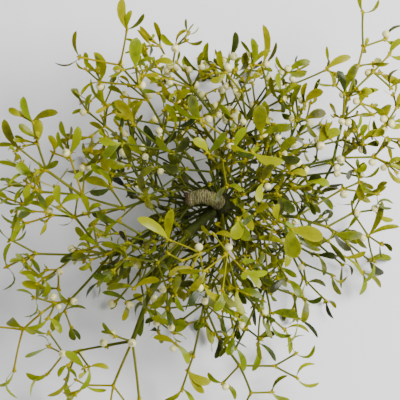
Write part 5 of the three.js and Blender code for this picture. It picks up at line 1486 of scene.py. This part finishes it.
# How golden skins are: the least, what full painted light adds, chance, and what each year takes.
TWIG_GOLD = 0.12
TWIG_PAINTED_LIGHT = 0.38
TWIG_SPREAD = (-0.15, 0.18)
YEARLY_LOSS = 0.04
GOLDEN_TWIGS = 0.85  # a draw above this gives a twig that is more golden
MORE_GOLDEN = 0.25
KNOT_GOLD = 0.42  # how much more golden a knot is
OLD_KNOT_LOSS = 0.6
# How golden buds are: the least, and what full painted light adds.
BUD_GOLD, BUD_PAINTED_LIGHT = 0.45, 0.75
# Dark bark: old bark with each year of age past four, and painted shade within 68 mm of the burr,
# where the bunch shades its middle.
YEARLY_BARK = 0.12
YOUTH = 0.5
PAINTED_SHADE_REACH = 150
PAINTED_SHADE_FADING = 2.2
# Stems a few years old are drawn slimmer than their solids, most of all the stout ones, and
# so are the crown's.
SLIM_RADII = (1.5, 3.6)
STOUT_RADIUS = 2.7
SLIM, SLIMMEST = 0.8, 0.68
COLLAR = 3.0  # length of the swelling at each end of an internode
ROOTED = 4  # how far a first internode starts inside the burr


def gold_of(internode):
    """How golden an internode's skin is: young shoots are the most golden, and more so with painted
    light on the rim and the top.
    """
    roll = dice_for("gold", internode)
    light = painted_light(internode["to"])
    golden = roll(0, 1) > GOLDEN_TWIGS or internode["stem"] == YELLOWEST_STEM
    gold = TWIG_GOLD + TWIG_PAINTED_LIGHT * light + roll(*TWIG_SPREAD) + (MORE_GOLDEN if golden else 0)
    return max(0, gold - YEARLY_LOSS * internode["age"])


def bark_and_painted_shade(internode):
    """How dark an internode's skin is drawn: old bark with age, and painted shade near the burr."""
    near = np.linalg.norm(internode["to"] - BURR_CENTRE) / PAINTED_SHADE_REACH
    bark = max(0, YEARLY_BARK * internode["age"] - YOUTH)
    return min(1, bark + max(0, 1 - PAINTED_SHADE_FADING * near))


def drawn_radius(internode):
    """The radius that an internode is drawn with, before its knots swell."""
    radius = internode["radius"]
    if SLIM_RADII[0] < radius < SLIM_RADII[1]:
        stout = STOUT.get(internode["stem"], 1) > 1 and radius < STOUT_RADIUS
        radius *= SLIMMEST if stout else SLIM
    if "crown" in internode["stem"] and not internode["fill"]:
        radius *= SLIM
    return radius


def run_points(first):
    """The points of a run of stem, each with its radius, its gold and its age."""
    points = []
    here = first
    while here:
        roll = dice_for("run", here)
        start, along = here["from"], here["to"] - here["from"]
        length = np.linalg.norm(along)
        bend = around(here["direction"], roll(0, math.tau)) * length * roll(0.0, 0.025)
        collar = min(COLLAR, length * 0.2) / length
        # The age share is old bark and also painted shade near the burr; it dims the knots too.
        gold, age, radius = gold_of(here), bark_and_painted_shade(here), drawn_radius(here)
        knot = min(1, gold + KNOT_GOLD) * (1 - OLD_KNOT_LOSS * age)
        if not here["parent"]:
            start = start - here["direction"] * ROOTED
        bulge = 1.25 if here["radius"] > SLIM_RADII[0] else 1.5
        # How far along, how swollen and how golden each point is.
        stations = [(collar, 1.1, gold), (0.35, 1.02, gold), (0.65, 1.02, gold),
                    (1 - collar, 1.1, gold), (1 - collar * 0.4, bulge, knot), (1, bulge, knot)]
        if here is first:
            stations.insert(0, (0, 1.25, knot))
        for share, swell, shade in stations:
            at = start + (here["to"] - start) * share + bend * math.sin(math.pi * share)
            points.append((at, radius * swell, shade, age))
        here = here["children"][0] if here["children"] else None
    return points


def twig_piece(name, firsts, shapes, lights):
    """Every run of one stem as round tubes that swell at the knots, with their buds."""
    curve = bpy.data.curves.new(name, "CURVE")
    curve.dimensions = "3D"
    curve.bevel_depth = MM
    curve.bevel_resolution = 2
    shades = []
    for first in firsts:
        points = run_points(first)
        spline = curve.splines.new("POLY")
        spline.points.add(len(points) - 1)
        for spot, (at, radius, gold, age) in zip(spline.points, points):
            spot.co = (*(at * MM + shift), 1)
            spot.radius = radius
            shades.append((gold, age))
    tubes = bpy.data.objects.new(name, curve)
    bpy.context.collection.objects.link(tubes)
    select_only(tubes)
    bpy.ops.object.convert(target="MESH")
    tubes = bpy.context.object
    tubes.data.materials.clear()
    tubes.data.materials.append(TWIG)
    sides = len(tubes.data.vertices) // len(shades)
    for column, attribute in enumerate(("gold", "age")):
        layer = tubes.data.attributes.new(attribute, "FLOAT", "POINT")
        layer.data.foreach_set("value", np.repeat(np.array(shades)[:, column], sides))
    bpy.ops.object.mode_set(mode="EDIT")
    bpy.ops.mesh.select_all(action="SELECT")
    bpy.ops.mesh.fill_holes(sides=0)
    bpy.ops.mesh.normals_make_consistent(inside=False)
    bpy.ops.object.mode_set(mode="OBJECT")
    # Buds are painted lighter and more golden where painted light falls.
    gold = [min(1, BUD_GOLD + BUD_PAINTED_LIGHT * light) for light in lights]
    knobs = copies(name + "_buds", bud, shapes, TWIG, gold=gold, age=[0.0] * len(shapes))
    select_only(tubes, knobs)
    bpy.ops.object.join()
    return tubes


def berry_piece(name, chosen):
    points = points_of(fruit) * (1, 1, 0.94)
    shapes = [upright(points, berry["centre"], berry["direction"], berry["radius"],
                      berry["radius"]) for berry in chosen]
    return copies(name, fruit, shapes, BERRY)


# ---- The bunch, piece by piece ----


def corners(points):
    """The box round some points, in metres and in the solids' own place."""
    low, high = np.min(points, axis=0), np.max(points, axis=0)
    return np.concatenate([low, high]) * MM + np.tile(shift, 2)


def node_corners(node):
    low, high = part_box(node)
    return np.array([*low, *high])


def take_nearest(node, found):
    """Takes from the found things the one whose box lies nearest to the node's."""
    wanted = node_corners(node)
    best = min(range(len(found)), key=lambda i: np.abs(found[i]["box"] - wanted).max())
    return found.pop(best)


BUD_RADIUS = 1.8  # of the solid bud that joins a leaf pair of its own

for berry in berries:
    berry["box"] = corners([berry["centre"] - berry["radius"], berry["centre"] + berry["radius"]])
loose_berries = list(berries)
pairs = []
for internode in internodes:
    pair = [one for one in leaves if one["internode"] is internode]
    if len(pair) == 2 and not internode["children"] and not internode["fill"]:
        outline = [leaf_at(one, s)[0] for one in pair for s in (0.33, 0.74, 1)]
        outline += [internode["to"] - BUD_RADIUS, internode["to"] + BUD_RADIUS]
        pairs.append({"leaves": pair, "box": corners(outline)})

own_leaves = []
for node in sorted(frame["nodes"]):
    if node.startswith("berry_"):
        berry = take_nearest(node, loose_berries)
        placed(berry_piece(node + "_fruit", [berry]), SMOOTH_BERRY, "berry", node)
    if node.startswith("leaf_pair_"):
        pair = take_nearest(node, pairs)
        own_leaves += [id(one) for one in pair["leaves"]]
        placed(leaf_piece(node + "_blades", pair["leaves"]), SMOOTH_LEAF, "leaf", node)

for stem in STEMS:
    grown = [internode for internode in internodes if internode["stem"] == stem]
    firsts = [i for i in grown if not i["parent"] or i["parent"]["children"][0] is not i]
    knobs = [(shape, painted_light(i["to"])) for i in grown for shape in bud_shapes(i)]
    placed(twig_piece(stem + "_twigs", firsts, *zip(*knobs)), SMOOTH_STEM, "stem", stem)
    blades = [one for one in leaves
              if one["internode"]["stem"] == stem and id(one) not in own_leaves]
    if blades:
        placed(leaf_piece(stem + "_leaves", blades), SMOOTH_LEAF, "leaf", stem)
    fruits = [one for one in loose_berries if one["internode"]["stem"] == stem]
    if fruits:
        placed(berry_piece(stem + "_berries", fruits), SMOOTH_BERRY, "berry", stem)

# ---- The host's branch and the burr ----

HOST_SIDES = 24
HOST_STEPS = 72
BEND_EASING = 0.06  # share of the branch's length that each bend is rounded over


def host_piece():
    """The stub of branch: a bark tube with uneven rings, sawn off at its far end."""
    branch = started(bpy.ops.mesh.primitive_circle_add, vertices=HOST_SIDES, radius=1,
                     fill_type="NGON", rotation=(0, math.pi / 2, 0))
    bpy.ops.object.transform_apply(rotation=True)
    bpy.ops.object.mode_set(mode="EDIT")
    bpy.ops.mesh.select_all(action="SELECT")
    for _ in range(HOST_STEPS):
        bpy.ops.mesh.extrude_region_move(
            TRANSFORM_OT_translate={"value": (1 / HOST_STEPS, 0, 0)})
    bpy.ops.mesh.select_all(action="SELECT")
    bpy.ops.mesh.normals_make_consistent(inside=False)
    bpy.ops.object.mode_set(mode="OBJECT")
    path = np.array(HOST_PATH, dtype=float)
    steps = np.concatenate([[0], np.cumsum(np.linalg.norm(np.diff(path, axis=0), axis=1))])
    steps /= steps[-1]
    for vertex in branch.data.vertices:
        share, y, z = vertex.co
        before, middle, after = (
            np.array([np.interp(place, steps, path[:, axis]) for axis in range(3)])
            for place in (share - BEND_EASING, share, share + BEND_EASING))
        along = unit(after - before)
        side = sideways(along)
        up = np.cross(side, along)
        centre = (middle * 2 + before + after) / 4
        # About fifteen low rings that wander round the branch, and lumps a few mm long.
        angle = math.atan2(z, y)
        swell = 1.04 + 0.015 * math.sin(share * 92 + 2.4 * math.sin(angle))
        swell += 0.2 * noise.noise(Vector((share * 9, y * 1.6, z * 1.6)))
        # The sawn edge is worn back.
        radius = HOST_RADIUS * swell * 0.97 * (0.9 if share < 0.02 else 1)
        at = centre - side * y * radius + up * z * radius
        vertex.co = at * MM + shift
    branch.data.materials.append(HOST_BARK)
    branch.data.materials.append(CUT_WOOD)
    for face in branch.data.polygons:
        face.material_index = 1 if len(face.vertices) > 4 and face.center.x < shift[0] else 0
    branch.name = "host_branch_bark"
    return branch


def burr_piece():
    """The burr: a ball of woody growth, lumpy all over."""
    burr = started(bpy.ops.mesh.primitive_ico_sphere_add, subdivisions=5, radius=1)
    for vertex in burr.data.vertices:
        lump = noise.noise(vertex.co * 1.8) * 0.12 + noise.noise(vertex.co * 5) * 0.06
        at = np.array(vertex.co) * BURR_RADIUS * (1.0 + lump) + BURR_CENTRE
        vertex.co = at * MM + shift
    burr.data.materials.append(BURR_BARK)
    burr.name = "burr_bark"
    return burr


placed(host_piece(), SMOOTH_BARK, "host_bark", "host_branch")
placed(burr_piece(), SMOOTH_BURR, "burr_bark", "burr")

for model in (blade, fruit, bud):
    bpy.data.objects.remove(model)

# ---- Floor, light and camera ----

FLOOR_SIZE = 8.0  # metres
ROOM_COLOUR = (0.95, 0.98, 1.0, 1)
ROOM_STRENGTH = 0.58
# The window: its place and size in metres, and its watts.
WINDOW_PLACE = (1.3, 0.4, 1.73)
WINDOW_SIZE = 0.9
WINDOW_POWER = 114
LIT_POINT = (0, 0, 0.1)

floor = started(bpy.ops.mesh.primitive_plane_add, size=FLOOR_SIZE)
floor.name = "floor"
floor.data.materials.append(CARD)

world = bpy.data.worlds.new("even grey room")
bpy.context.scene.world = world
world.use_nodes = True
background = world.node_tree.nodes["Background"]
background.inputs["Color"].default_value = ROOM_COLOUR
background.inputs["Strength"].default_value = ROOM_STRENGTH

bpy.ops.object.light_add(type="AREA", location=WINDOW_PLACE)
window = bpy.context.object
window.name = "window on the right"
window.data.size = WINDOW_SIZE
window.data.energy = WINDOW_POWER
window_view = Vector(LIT_POINT) - Vector(WINDOW_PLACE)
window.rotation_euler = window_view.to_track_quat("-Z", "Y").to_euler()

bpy.ops.object.camera_add(location=(shift[0], shift[1], CAMERA_HEIGHT * MM), rotation=(0, 0, 0))
camera = bpy.context.object
camera.data.sensor_width = SENSOR
camera.data.lens = SENSOR * (CAMERA_HEIGHT - FRAME_LEVEL) / FRAME_WIDTH
bpy.context.scene.camera = camera
